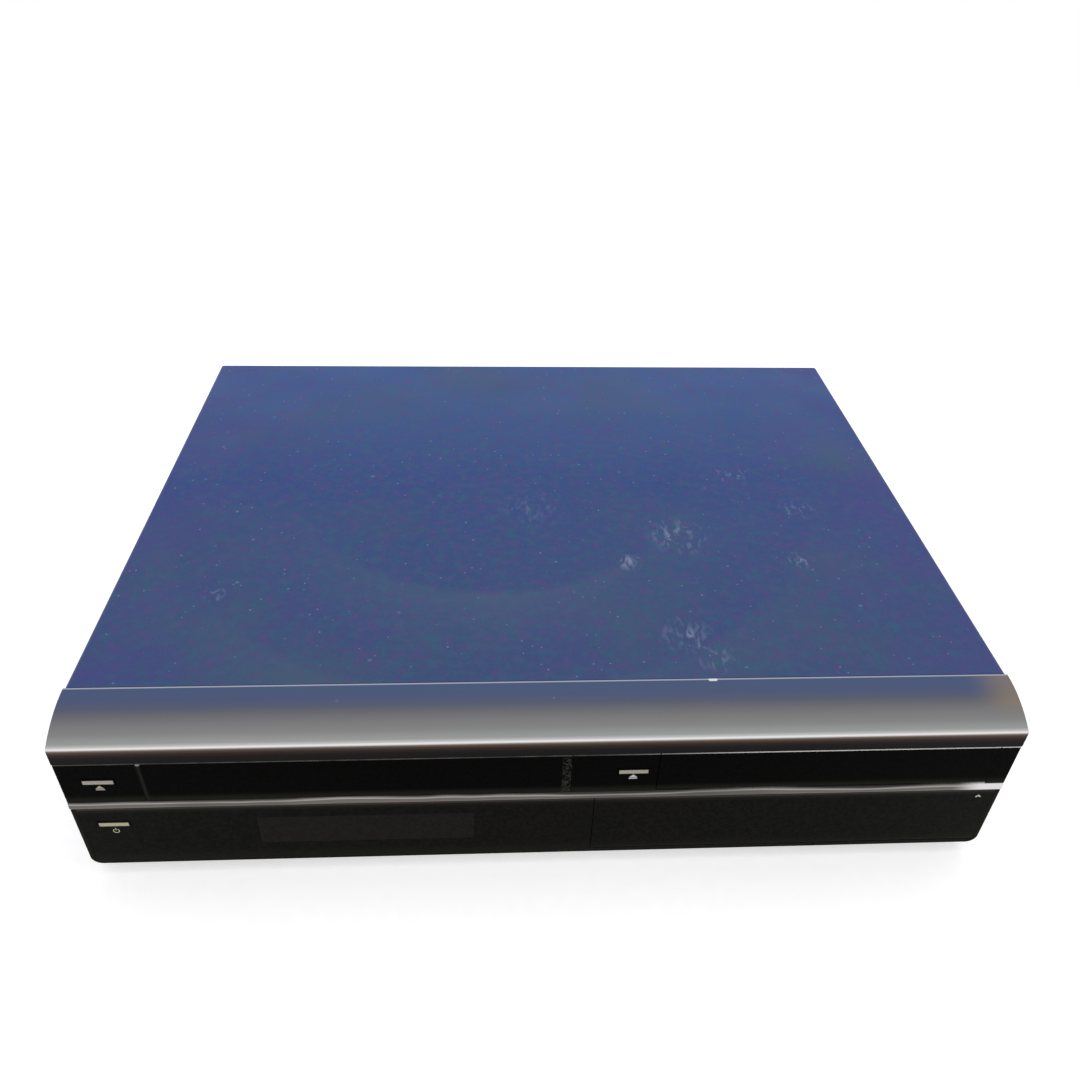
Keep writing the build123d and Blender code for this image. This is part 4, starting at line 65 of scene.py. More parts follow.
def linear(code):
    """Turns an sRGB hex colour into the linear values that Blender's sockets take."""
    values = [int(code[start : start + 2], 16) / 255 for start in (1, 3, 5)]
    return [v / 12.92 if v <= 0.04045 else ((v + 0.055) / 1.055) ** 2.4 for v in values] + [1.0]


def add(material, kind, inputs=None, stops=(), **settings):
    """Adds a node with its settings, sets or links its inputs, and gives a ramp its (place, hex) stops."""
    made = material.node_tree.nodes.new(kind)
    for name, value in settings.items():
        setattr(made, name, value)
    for name, value in (inputs or {}).items():
        if isinstance(value, bpy.types.NodeSocket):
            material.node_tree.links.new(value, made.inputs[name])
        else:
            made.inputs[name].default_value = value
    for number, (at, colour) in enumerate(stops):
        if number > 1:
            made.color_ramp.elements.new(at)
        made.color_ramp.elements[number].position = at
        made.color_ramp.elements[number].color = linear(colour)
    return made


def here(material):
    """The point on the piece, in the piece's own metres, from the finish's one coordinate node."""
    return material.node_tree.nodes["Texture Coordinate"].outputs["Object"]


# %% [markdown]
# Nearly every finish on this recorder is moulded, rolled or painted, and differs from the next in its colour,
# its shine and the grain of its surface. One recipe covers them, so no network is built twice. Noise at the
# grain's real size moves the colour between two close tones and gives the bump, and a wider noise changes the
# roughness a little, as handling and dust do. A grain of 0.8 mm has a noise scale of 1 / 0.8 mm.

# %% The recipe for a grained finish
WIDE = 40 * MM


def grained(name, tone, other, roughness, grain, relief=0.0, stretch=(1, 1, 1), **surface):
    """A finish with two close tones in a grain of that size in metres, and a bump of that height."""
    material = bpy.data.materials.new(name)
    material.use_nodes = True
    shader = material.node_tree.nodes["Principled BSDF"]
    place = add(material, "ShaderNodeTexCoord").outputs["Object"]
    squeeze = add(material, "ShaderNodeMapping", {"Vector": place, "Scale": stretch}).outputs["Vector"]
    fine_grain = {"Vector": squeeze, "Scale": 1 / grain, "Detail": 2.0}
    noise = add(material, "ShaderNodeTexNoise", fine_grain).outputs["Fac"]
    tones = add(material, "ShaderNodeValToRGB", {"Fac": noise}, [(0.35, tone), (0.65, other)]).outputs["Color"]
    handling = {"Vector": place, "Scale": 1 / WIDE, "Detail": 3.0}
    wide = add(material, "ShaderNodeTexNoise", handling).outputs["Fac"]
    spread = {"Value": wide, "From Min": 0.3, "From Max": 0.7, "To Min": 0.9 * roughness,
              "To Max": 1.1 * roughness}
    shine = add(material, "ShaderNodeMapRange", spread).outputs["Result"]
    link = material.node_tree.links.new
    link(tones, shader.inputs["Base Color"])
    link(shine, shader.inputs["Roughness"])
    if relief:
        bump = add(material, "ShaderNodeBump", {"Height": noise, "Distance": relief, "Strength": 0.6})
        link(bump.outputs["Normal"], shader.inputs["Normal"])
    for socket, value in surface.items():
        shader.inputs[socket.replace("_", " ")].default_value = value
    return material


# %% [markdown]
# Some finishes carry a second thing on top, such as dust, a fade or a lighter edge. The next helper lays a
# colour over what a finish has so far, by a factor from 0 to 1, so layers can be added one by one. Fades
# follow the piece's own depth, height or width, which keeps them in place from every side.

# %% Layers over a finish
def over(material, colour, *factors):
    """Lays a colour over a finish's present colour, as far as the product of the factors says."""
    factor = factors[0]
    for more in factors[1:]:
        factor = add(material, "ShaderNodeMath", {0: factor, 1: more}, operation="MULTIPLY").outputs["Value"]
    target = material.node_tree.nodes["Principled BSDF"].inputs["Base Color"]
    present = target.links[0].from_socket
    layers = {0: factor, 6: present, 7: linear(colour) if isinstance(colour, str) else colour}
    mixed = add(material, "ShaderNodeMix", layers, data_type="RGBA")
    material.node_tree.links.new(mixed.outputs[2], target)


def along(material, axis, low, high, smooth=False):
    """Goes from 0 to 1 as the piece's own coordinate on that axis goes from low to high."""
    split = add(material, "ShaderNodeSeparateXYZ", {"Vector": here(material)}).outputs[axis]
    steps = {"Value": split, "From Min": low, "From Max": high}
    kind = "SMOOTHSTEP" if smooth else "LINEAR"
    return add(material, "ShaderNodeMapRange", steps, interpolation_type=kind).outputs["Result"]


def patches(material, width, low, high, detail=2.0, distortion=0.0, stretch=(1, 1, 1)):
    """Soft patches of noise that wide in metres, from 0 to 1 as the noise goes from low to high."""
    place = add(material, "ShaderNodeMapping", {"Vector": here(material), "Scale": stretch}).outputs["Vector"]
    values = {"Vector": place, "Scale": 1 / width, "Detail": detail, "Distortion": distortion}
    noise = add(material, "ShaderNodeTexNoise", values).outputs["Fac"]
    steps = {"Value": noise, "From Min": low, "From Max": high}
    return add(material, "ShaderNodeMapRange", steps).outputs["Result"]


# %% [markdown]
# ## The cover
# The cover is folded steel sheet with a metallic slate blue coil coat, which is a smooth paint that is rolled
# on before the sheet is bent. The eye sees an even satin blue, a little brighter to the rear, as the light
# falls on it. One flat colour would look new and lifeless. A ramp from front to rear paints that change in as
# painted shading, and wide soft patches move the hue, as the thin film of years of handling does. The paint's
# flakes are too fine to show, so a purple and a green mottle stand for them at 4.0 and 5.5 mm.

# %% The cover's coil coat
slate_paint = grained("slate metallic coil coat on steel", "#293e77", "#3f558a", 0.5, 1.4 * MM,
                      Specular_IOR_Level=0.15)
cover_low, cover_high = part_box("top_cover")
# Painted shading: the top is lighter and bluer towards the rear, as the light falls on it.
REARWARD_SHADING_TONES = [(0.0, "#3a4d75"), (0.3, "#354c7b"), (0.55, "#2f4984"), (0.8, "#38578f"), (1.0, "#3d5c99")]
rearward = along(slate_paint, "Y", cover_low.y, cover_high.y)
over(slate_paint, add(slate_paint, "ShaderNodeValToRGB", {"Fac": rearward}, REARWARD_SHADING_TONES).outputs["Color"], 0.8)
# The film of handling is grey-green in some places and violet in others.
over(slate_paint, "#44586c", patches(slate_paint, 90 * MM, 0.5, 0.75), 0.5)
over(slate_paint, "#3f4382", patches(slate_paint, 60 * MM, 0.52, 0.75), 0.35)
# The two mottles stand for the flakes.
over(slate_paint, "#574380", patches(slate_paint, 4.0 * MM, 0.48, 0.68, detail=4.0), 0.46)
over(slate_paint, "#2c6076", patches(slate_paint, 5.5 * MM, 0.48, 0.68, detail=4.0), 0.42)
# The colour is more violet towards the two sides, in small patches.
for side in (-1, 1):
    outward = along(slate_paint, "X", side * 120 * MM, side * 214 * MM)
    over(slate_paint, "#443f86", outward, patches(slate_paint, 30 * MM, 0.35, 0.7), 0.5)
print(f"{slate_paint.name}, {len(slate_paint.node_tree.nodes)} nodes")

# %% [markdown]
# Dust on the cover shows as pale specks, and only where a face points up. Loose grains would be real pieces,
# but thousands of them would cost more than they show, so the specks are colour. Each cell of a Voronoi
# pattern holds one point. A colour that switches near that point gives a speck, and each cell's random colour
# decides whether its speck shows and how large and pale it is. Faint smudges lie where something was set
# down: noise stretched into strands, kept inside a soft circle about each place. A cloth has left two wide
# arcs, paler outside than inside.

# %% Dust and smudges on the cover
def dust(material, pitch, size, share, colour):
    """Specks up to that size, in metres, in that share of the cells of a pattern of that pitch."""
    cells = add(material, "ShaderNodeTexVoronoi", {"Vector": here(material), "Scale": 1 / pitch})
    chance = add(material, "ShaderNodeSeparateColor", {"Color": cells.outputs["Color"]}).outputs
    shown = add(material, "ShaderNodeMath", {0: chance["Red"], 1: share}, operation="LESS_THAN")
    reach = add(material, "ShaderNodeMath", {0: chance["Green"], 1: size / pitch}, operation="MULTIPLY")
    sides = {0: cells.outputs["Distance"], 1: reach.outputs["Value"]}
    near = add(material, "ShaderNodeMath", sides, operation="LESS_THAN")
    normal = material.node_tree.nodes["Texture Coordinate"].outputs["Normal"]
    tilt = add(material, "ShaderNodeSeparateXYZ", {"Vector": normal}).outputs["Z"]
    upward = add(material, "ShaderNodeMapRange", {"Value": tilt, "From Min": 0.5, "From Max": 0.8})
    speck = shown.outputs["Value"], near.outputs["Value"], chance["Blue"], upward.outputs["Result"]
    over(material, colour, *speck)


def about(material, centre, radius, core=0.0):
    """Is 1 within the core about a point, and falls to 0 at the radius. The point and both radii are in mm."""
    middle = {0: here(material), 1: [value * MM for value in centre]}
    apart = add(material, "ShaderNodeVectorMath", middle, operation="DISTANCE").outputs["Value"]
    fade = {"Value": apart, "From Min": radius * MM, "From Max": core * MM}
    return add(material, "ShaderNodeMapRange", fade).outputs["Result"]


TOP = cover_high.z / MM
WIPED = (-25, 30, TOP)  # the middle of the wiped arcs, in mm
dust(slate_paint, 12 * MM, 1.2 * MM, 0.5, "#a9b6d2")
dust(slate_paint, 4 * MM, 0.6 * MM, 0.5, "#8796bd")
# Each smudge has a place across and in depth, a radius in mm, and a strength.
SMUDGES = ((77, -38, 19, 0.7), (69, -118, 15, 0.5), (80, -133, 12, 0.55), (48, -61, 8, 0.8),
           (-2, -10, 22, 0.25), (121, 22, 14, 0.5), (152, -12, 12, 0.5), (141, -60, 8, 0.8),
           (-164, -84, 7, 0.7))
for x, y, radius, strength in SMUDGES:
    strands = patches(slate_paint, 3.2 * MM, 0.5, 0.72, detail=6.0, distortion=0.8, stretch=(1, 0.45, 1))
    over(slate_paint, "#a3b0cc", about(slate_paint, (x, y, TOP), radius), strands, strength)
# Each arc begins sharply at its radius and fades out within 45 mm, and only its front part shows.
for radius, strength in ((118, 0.4), (190, 0.3)):
    within = about(slate_paint, WIPED, radius, radius - 6)
    beyond = add(slate_paint, "ShaderNodeMath", {0: 1.0, 1: within}, operation="SUBTRACT").outputs["Value"]
    fading = about(slate_paint, WIPED, radius + 45, radius)
    frontal = about(slate_paint, (WIPED[0], WIPED[1] - radius, TOP), 1.3 * radius)
    over(slate_paint, "#50647a", beyond, fading, frontal, strength)
print(f"{len(SMUDGES)} smudges, {len(slate_paint.node_tree.nodes)} nodes")

# %% [markdown]
# ## The visor, the band and the strip
# The visor is moulded ABS under a silver grey metallic paint. It starts at the seam in a painted reflection of
# the cover's blue, turns to its own silver grey as it curves down, and ends in a painted highlight on the lip
# above a dark brown face, which is partly its own dark finish and partly painted shade. Lamps alone could give
# some of that change, but only in one room. A ramp along the way that a finger would take from the seam over
# the lip and down the face holds the tones at their real distances in any light. A painted highlight along the
# seam shows as a fine pale line with one small pale speck in it, and the upper curve has a warm tint at its
# right end.

# %% The visor's paint
visor_paint = grained("silver metallic paint on ABS", "#6a6b72", "#828287", 0.4, 1.2 * MM,
                      Specular_IOR_Level=0.04)
visor_low, visor_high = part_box("front_visor")
LIP_DROP = 8.5 * MM  # from the visor's top down to its lip
lip_z = visor_high.z - LIP_DROP
depth = visor_high.y - visor_low.y
way = depth + lip_z - visor_low.z
point = add(visor_paint, "ShaderNodeSeparateXYZ", {"Vector": here(visor_paint)}).outputs
inward = add(visor_paint, "ShaderNodeMath", {0: visor_high.y, 1: point["Y"]},
             operation="SUBTRACT").outputs["Value"]
below = add(visor_paint, "ShaderNodeMath", {0: lip_z, 1: point["Z"]}, operation="SUBTRACT").outputs["Value"]
downward = add(visor_paint, "ShaderNodeMath", {0: below, 1: 0.0}, operation="MAXIMUM").outputs["Value"]
both = add(visor_paint, "ShaderNodeMath", {0: inward, 1: downward}, operation="ADD").outputs["Value"]
travelled = add(visor_paint, "ShaderNodeMath", {0: both, 1: way}, operation="DIVIDE").outputs["Value"]
# The painted reflection, highlight and shade lie at these distances from the seam, in mm.
VISOR_REFLECTION_TONES = ((0, "#4b5c80"), (8, "#505b7c"), (12, "#5a6072"), (15, "#6b6b73"), (19, "#7d7d7f"),
               (23, "#898989"), (26.5, "#a0a2a2"), (27.6, "#cbcbca"), (28.1, "#f8f5f5"), (28.6, "#e0dcdb"),
               (29.2, "#857a75"), (30.2, "#56453c"), (31.8, "#30241f"), (34, "#120c0c"), (37, "#080707"))
stops = [(at * MM / way, colour) for at, colour in VISOR_REFLECTION_TONES]
over(visor_paint, add(visor_paint, "ShaderNodeValToRGB", {"Fac": travelled}, stops).outputs["Color"], 0.98)
# The warm tint at the right end.
upper_half = along(visor_paint, "Y", -170 * MM, -162 * MM, smooth=True)
over(visor_paint, "#a08c6c", along(visor_paint, "X", 192 * MM, 214 * MM, smooth=True), upper_half, 0.5)
# A painted highlight along the seam, where light catches the visor's rear edge, and a small pale speck in it.
seam = {"Value": inward, "From Min": 0.9 * MM, "From Max": 0.7 * MM, "To Min": 0.0, "To Max": 0.75}
over(visor_paint, "#b9bcc6", add(visor_paint, "ShaderNodeMapRange", seam).outputs["Result"])
SEAM_Y = -148.2
for speck_x in (74.6, 75.7, 76.8):
    over(visor_paint, "#e4e6ee", about(visor_paint, (speck_x, SEAM_Y, TOP), 1.1, 0.8))
dust(visor_paint, 12 * MM, 0.9 * MM, 0.3, "#a9b6d2")
print(f"{visor_paint.name}, {len(VISOR_REFLECTION_TONES)} tones over {way / MM:.1f} mm")

# %% [markdown]
# The strip is a half-round moulding with a bright vacuum-metallised skin, and the eye sees a satin metal bar.
# Its upper curve holds a bright line that wanders a little, its lower curve is dull, and its right end is
# nearly white. All three are reflection. A mirror finish would show whatever room it stands in, so a ramp up
# the strip holds the line as a painted reflection, and wide noise makes it wander. The bright edges of the
# band's sections are a painted highlight on their chamfers, where the corner catches light, and it is brighter
# to the right.

# %% The strip and the bright edges
strip_paint = grained("vacuum-metallised ABS", "#615c57", "#6f6a65", 0.32, 1.5 * MM, Specular_IOR_Level=0.2)
strip_low, strip_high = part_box("trim_strip")
STRIP_REFLECTION_TONES = [(0.0, "#57514a"), (0.2, "#756f68"), (0.45, "#6a645e"), (0.62, "#6a6663"), (0.74, "#bcb8b5"),
               (0.84, "#908d8a"), (1.0, "#2e2c29")]
# The painted reflection moves up and down by up to 0.16 of the strip's height.
drift = {"Value": patches(strip_paint, 60 * MM, 0.35, 0.65), "To Min": -0.16, "To Max": 0.16}
reflection_wave = add(strip_paint, "ShaderNodeMapRange", drift).outputs["Result"]
upward = along(strip_paint, "Z", strip_low.z, strip_high.z)
height = add(strip_paint, "ShaderNodeMath", {0: upward, 1: reflection_wave}, operation="ADD").outputs["Value"]
over(strip_paint, add(strip_paint, "ShaderNodeValToRGB", {"Fac": height}, STRIP_REFLECTION_TONES).outputs["Color"], 0.95)
# Painted reflection: wide dark patches, where the strip mirrors dark things.
over(strip_paint, "#26231f", patches(strip_paint, 95 * MM, 0.5, 0.68), 0.55)
# Painted highlight: the right end is nearly white.
over(strip_paint, "#fbf8f9", along(strip_paint, "X", 190 * MM, 206 * MM, smooth=True), 0.97)
# The band's chamfers carry a painted highlight, brighter to the right.
bright_edge = grained("painted highlight on the band's chamfers", "#37332f", "#5d5954", 0.35, 9 * MM, Specular_IOR_Level=0.2)
over(bright_edge, "#fbf9f7", along(bright_edge, "X", 20 * MM, 110 * MM, smooth=True), 0.97)
print(f"{strip_paint.name} and {bright_edge.name}")

# %% [markdown]
# The band, the flap and the tray's front are polished black ABS, moulded in a mirror-bright tool. The lower
# panel and the door are a clear acrylic over dark brown paint, which is a trace lighter. Both are smooth, so
# their roughness is low, but the hard coat on them mirrors little, so their specular level is low too. Near
# the strip they are a little lighter, a painted reflection of it. The flap's left end has a painted highlight
# and a painted glint on its corner, and its right end is lighter in a fine stipple. The display window is
# smoked acrylic, which lets the figures shine through when they are lit. They are off here, so a solid dark
# brown gives the same look without glass.

# %% Polished black
band_black = grained("polished black ABS", "#020202", "#050504", 0.14, 2.0 * MM, IOR=1.5,
                     Specular_IOR_Level=0.01)
# Painted reflection of the strip: the foot of the band is a little lighter.
over(band_black, "#23221d", along(band_black, "Z", 59.5 * MM, 55 * MM, smooth=True), 0.8)
# The stippled right end of the flap.
from_left = along(band_black, "X", 5.6 * MM, 6.2 * MM)
to_right = along(band_black, "X", 10.6 * MM, 10.2 * MM)
over(band_black, "#32322d", from_left, to_right, patches(band_black, 1.0 * MM, 0.45, 0.62))
# Painted highlights: a thin line along the flap's left end, and a glint on the corner above it.
from_left = along(band_black, "X", -180.4 * MM, -180.0 * MM)
over(band_black, "#1f1f1c", from_left, along(band_black, "X", -178.4 * MM, -178.8 * MM))
FLAP_CORNER_GLINT = (-179.3, -175.6, 79.3)
over(band_black, "#9a9a96", about(band_black, FLAP_CORNER_GLINT, 1.4, 0.8))
print(f"{band_black.name}, {len(band_black.node_tree.nodes)} nodes")

# %% Acrylic and inks
panel_black = grained("acrylic over brown-black paint", "#080806", "#131210", 0.16, 1.8 * MM, IOR=1.49,
                      Specular_IOR_Level=0.02)
# The panel is lighter towards its upper edge, in two steps, a painted reflection of the strip, and a trace
# lighter at its foot.
over(panel_black, "#262320", along(panel_black, "Z", 45.5 * MM, 49 * MM, smooth=True), 0.8)
over(panel_black, "#57524b", along(panel_black, "Z", 48 * MM, 50 * MM, smooth=True), 0.9)
over(panel_black, "#1d1c17", along(panel_black, "Z", 18 * MM, 11 * MM, smooth=True), 0.6)
smoked_acrylic = grained("smoked acrylic window", "#14110e", "#1b1814", 0.12, 1.8 * MM, IOR=1.49,
                         Specular_IOR_Level=0.03)
# The inks are thin and matt. The cream ones also paint a highlight on the raised bars of the buttons, which is
# a warmer cream on the power button.
cream_ink_and_highlight = grained("cream marking ink and painted highlight", "#9c978a", "#aba597", 0.6, 0.8 * MM)
power_ink_and_highlight = grained("warm cream ink and painted highlight", "#a9a488", "#b8b293", 0.5, 0.8 * MM)
white_ink = grained("white marking ink", "#b9b8b4", "#cccbc7", 0.6, 0.8 * MM)
print(f"{panel_black.name}, {smoked_acrylic.name} and the inks")

# %% [markdown]
# ## Metals, plastics, rubber and boards
# The chassis and brackets are zinc-plated steel sheet, whose spangle of crystals shows as soft patches about
# 3 mm wide. Ground steel has fine lines, and cast aluminium a sandy skin. Moulded ABS has a fine grain from a
# spark-eroded tool, acetal gears are smooth and slightly waxy, and circuit boards have a lacquer over the
# weave of the laminate. All of them differ only in numbers, so the same recipe makes them.

# %% Metals
# Pale, with the soft patches of its spangle.
zinc = grained("zinc-plated steel sheet", "#a5a7a8", "#b9bbba", 0.38, 3.0 * MM, 0.004 * MM, Metallic=1.0)
# Bright, with lines left by the grinding wheel.
bright_steel = grained("ground steel", "#b7b6b3", "#cbcac7", 0.25, 0.5 * MM, 0.002 * MM, (1, 1, 0.05),
                       Metallic=1.0)
# Nearly black, with the dull sheen of an oiled oxide skin.
dark_screw = grained("black oxide steel", "#1d1d1f", "#29292b", 0.4, 0.4 * MM, Metallic=0.7)
# Cool and light, with a sandy skin.
aluminium = grained("cast and turned aluminium", "#adb0b3", "#c1c4c6", 0.35, 0.7 * MM, 0.01 * MM, Metallic=1.0)
# Warm yellow and bright.
brass = grained("gold-plated brass contacts", "#b98f3e", "#d1aa52", 0.3, 0.4 * MM, Metallic=1.0)
print(f"metals: {zinc.name}, {bright_steel.name}, {dark_screw.name}, {aluminium.name}, {brass.name}")

# %% Plastics, rubber and boards
# Both kinds of ABS have a grain that breaks up every reflection.
black_abs = grained("grained black ABS", "#151516", "#1f1f20", 0.55, 0.8 * MM, 0.03 * MM, IOR=1.53)
grey_abs = grained("grained grey ABS", "#57585b", "#666769", 0.5, 0.8 * MM, 0.03 * MM, IOR=1.53)
# Smooth, off-white and a little waxy.
white_acetal = grained("white acetal", "#d9d6cd", "#e5e2da", 0.45, 1.0 * MM, IOR=1.48)
# Dull black, with no shine at all.
rubber = grained("black nitrile rubber", "#181818", "#232322", 0.85, 0.6 * MM, 0.04 * MM)
# A glossy green lacquer over the weave, and a plain brown board with a cardboard look.
green_board = grained("green solder mask", "#19522f", "#256a3d", 0.35, 1.5 * MM, 0.02 * MM)
tan_board = grained("paper laminate board", "#a48551", "#b79763", 0.6, 2.0 * MM, 0.01 * MM)
print(f"plastics: {black_abs.name}, {grey_abs.name}, {white_acetal.name}")
print(f"others: {rubber.name}, {green_board.name}, {tan_board.name}")

# %% [markdown]
# ## Giving the finishes
# Each CAD node gets one finish over all its faces. A few nodes then get a second one on some faces. It could
# be drawn inside one material, but a real edge between two finishes lies on an edge of the shape, so the
# faces are picked by where they are and which way they point: the chamfers of the band get a painted
# highlight, the raised bars of the buttons a painted highlight in cream, and what stands on a circuit board
# isn't green.

# %% One finish for each node
FINISHES = {
    slate_paint: ["top_cover"],
    dark_screw: ["cover_screws"],
    zinc: ["bottom_chassis", "rear_panel", "clamp_bridge", "traverse", "drive_brackets", "deck_plate",
           "basket_guides", "basket_slider", "cassette_basket"],
    visor_paint: ["front_visor"],
    strip_paint: ["trim_strip"],
    band_black: ["cassette_flap", "cassette_eject_button", "disc_open_button", "tray_front"],
    panel_black: ["lower_panel", "access_door", "power_button"],
    smoked_acrylic: ["display_window"],
    black_abs: ["feet", "front_bezel", "display_module", "jack_panel", "drive_base", "disc_tray",
                "optical_pickup", "turntable", "pinch_arm", "fan_frame", "fan_rotor", "rear_panel_sockets",
                "mains_inlet"],
    grey_abs: ["front_sockets", "record_key", "stop_key", "play_key"],
    white_acetal: ["drive_gear", "pulley_gear", "clamper", "supply_reel_table", "take_up_reel_table",
                   "cam_gear", "reel_idler"],
    rubber: ["foot_pads"],
    bright_steel: ["tray_motor", "lead_screw", "supply_tape_guide", "take_up_tape_guide", "capstan",
                   "deck_motor", "tape_heads"],
    aluminium: ["hard_drive", "lower_drum", "upper_drum"],
    green_board: ["main_board", "tuner_board"],
    tan_board: ["front_boards", "power_supply"],
}
for finish, names in FINISHES.items():
    for name in names:
        nodes[name].data.materials.clear()
        nodes[name].data.materials.append(finish)
print(f"finishes given to {sum(len(names) for names in FINISHES.values())} nodes of {len(nodes)}")

# %% A second finish on chosen faces
def paint(name, finish, chosen):
    """Gives a finish to those faces of a node that the test picks by their middle, in mm, and their normal."""
    mesh = nodes[name].data
    if finish.name not in mesh.materials:
        mesh.materials.append(finish)
    place = mesh.materials.find(finish.name)
    picked = [face for face in mesh.polygons if chosen(face.center / MM, face.normal)]
    for face in picked:
        face.material_index = place
    print(f"{name}: {finish.name} on {len(picked)} faces")


FRONT = -176  # the foremost plane, in mm
FACE = -175.6  # the faces of the band and the lower panel
BAND_TOP = 79.9


def band_chamfer(at, normal):
    """Whether a face is part of the chamfer along the band's top edge."""
    return normal.y < -0.4 and normal.z > 0.4 and BAND_TOP - 1 < at.z < BAND_TOP + 0.1


for name in ("front_bezel", "cassette_flap", "tray_front"):
    paint(name, band_black, lambda at, normal: normal.y < -0.9 and at.y < FACE + 0.1)
    # The chamfers along the band's top edge get a painted highlight.
    paint(name, bright_edge, band_chamfer)
# The raised bars of the buttons get a painted highlight in cream.
for name in ("cassette_eject_button", "disc_open_button"):
    paint(name, cream_ink_and_highlight, lambda at, normal: at.y < FRONT + 0.15 and at.z > 66.5)
paint("power_button", power_ink_and_highlight, lambda at, normal: at.y < FRONT + 0.15 and at.z > 37)

# %% [markdown]
# ## Marks on the front
# The buttons carry plain open and close marks, a triangle over a bar, and the power button the usual broken
# ring with a stroke. Ink stands a little proud of the plastic, so each mark is a thin plate with a rounded
# rim. Colour by place could draw it too, but an outline in a curve keeps its corners sharp and rides on its
# button. The door has a small pointed mark at its right end, where a finger pulls it open.

# %% Printed plates
def plate(name, outlines, depth, finish, body, turn=(pi / 2, 0, 0), place=(0, 0, 0)):
    """A thin plate from closed outlines in mm, holes included, which faces the front unless it is turned."""
    curve = bpy.data.curves.new(name, "CURVE")
    curve.dimensions, curve.fill_mode = "2D", "BOTH"
    curve.extrude, curve.bevel_depth, curve.bevel_resolution = depth * MM * 0.35, depth * MM * 0.15, 1
    for outline in outlines:
        spline = curve.splines.new("POLY")
        spline.points.add(len(outline) - 1)
        for point, (across, height) in zip(spline.points, outline):
            point.co = (across * MM, height * MM, 0, 1)
        spline.use_cyclic_u = True
    curve.materials.append(finish)
    made = bpy.data.objects.new(name, curve)
    bpy.context.scene.collection.objects.link(made)
    made.rotation_euler, made.location = turn, [value * MM for value in place]
    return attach(made, body)


def arc(radius, start, end, steps, x=0.0, z=0.0):
    """Points on an arc between two angles in degrees."""
    turns = [radians(start + (end - start) * step / steps) for step in range(steps + 1)]
    return [(x + radius * cos(turn), z + radius * sin(turn)) for turn in turns]


def bar(x, z, width, height):
    """The four corners of a bar about a middle."""
    left, right = x - width / 2, x + width / 2
    low, high = z - height / 2, z + height / 2
    return [(left, low), (right, low), (right, high), (left, high)]


# %% The marks on the front
INK = 0.12  # the ink's thickness, in mm
LEFT_BUTTONS, DISC_BUTTON = -198.3, 38.2  # the middles of the buttons, across
BUTTON_FACE = FRONT + 0.2
ON_BUTTON = (0, BUTTON_FACE - INK / 2, 0)
MARK_WIDTH = 3.8
for name, x, z, finish in (
    ("cassette_eject", LEFT_BUTTONS, 64.3, cream_ink_and_highlight),
    ("disc_open", DISC_BUTTON, 64.6, white_ink),
):
    triangle = [(x - MARK_WIDTH / 2, z - 0.3), (x + MARK_WIDTH / 2, z - 0.3), (x, z + 1.6)]
    outlines = [triangle, bar(x, z - 1.0, MARK_WIDTH, 0.6)]
    plate(f"{name}_mark", outlines, INK, finish, f"{name}_button", place=ON_BUTTON)
RING_OUTER, RING_INNER, RING_Z = 1.5, 1.1, 33.9
RING_START, RING_END = 125, 415  # in degrees, with the gap for the stroke between them
ring = arc(RING_OUTER, RING_START, RING_END, 20, LEFT_BUTTONS, RING_Z)
ring += arc(RING_INNER, RING_END, RING_START, 20, LEFT_BUTTONS, RING_Z)
stroke = bar(LEFT_BUTTONS, 35.2, 0.45, 1.5)
plate("power_mark", [ring, stroke], INK, power_ink_and_highlight, "power_button", place=ON_BUTTON)
chevron = [(204.2, 44.6), (205.6, 46.0), (207.0, 44.6), (206.5, 44.1), (205.6, 45.0), (204.7, 44.1)]
plate("door_mark", [chevron], INK, white_ink, "access_door", place=(0, FACE - INK / 2, 0))
print("four marks on the front")

# %% [markdown]
# ## Screws, sockets and keys
# Seven screws with black heads hold the cover, and four more hold the fan. A bump could hint at their
# crosses, but the edge of a real recess catches light. So one head is turned as a low dome, a cross is cut
# into it by a Boolean modifier, and the cut head is copied to each place in one mesh.

# %% Turned pieces
def piece(name, shape, finish, body="cabinet"):
    """A mesh piece with smooth round faces and sharp corners, which rides on a body."""
    bmesh.ops.remove_doubles(shape, verts=shape.verts, dist=0.001 * MM)
    bmesh.ops.recalc_face_normals(shape, faces=shape.faces)
    mesh = bpy.data.meshes.new(name)
    shape.to_mesh(mesh)
    shape.free()
    mesh.shade_smooth()
    mesh.set_sharp_from_angle(angle=radians(35))
    mesh.materials.append(finish)
    made = bpy.data.objects.new(name, mesh)
    bpy.context.scene.collection.objects.link(made)
    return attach(made, body) if body else made


def turned(profile, spots, steps=24):
    """Closed profiles of (radius, y) in mm, turned about lengthwise axes at (x, z) spots."""
    shape = bmesh.new()
    for x, z in spots:
        turns = [2 * pi * step / steps for step in range(steps)]
        rings = [[shape.verts.new(((x + r * cos(turn)) * MM, y * MM, (z + r * sin(turn)) * MM))
                  for r, y in profile] for turn in turns]
        for ring, following in zip(rings, rings[1:] + rings[:1]):
            for corner in range(len(profile)):
                after = (corner + 1) % len(profile)
                shape.faces.new((ring[corner], ring[after], following[after], following[corner]))
    return shape


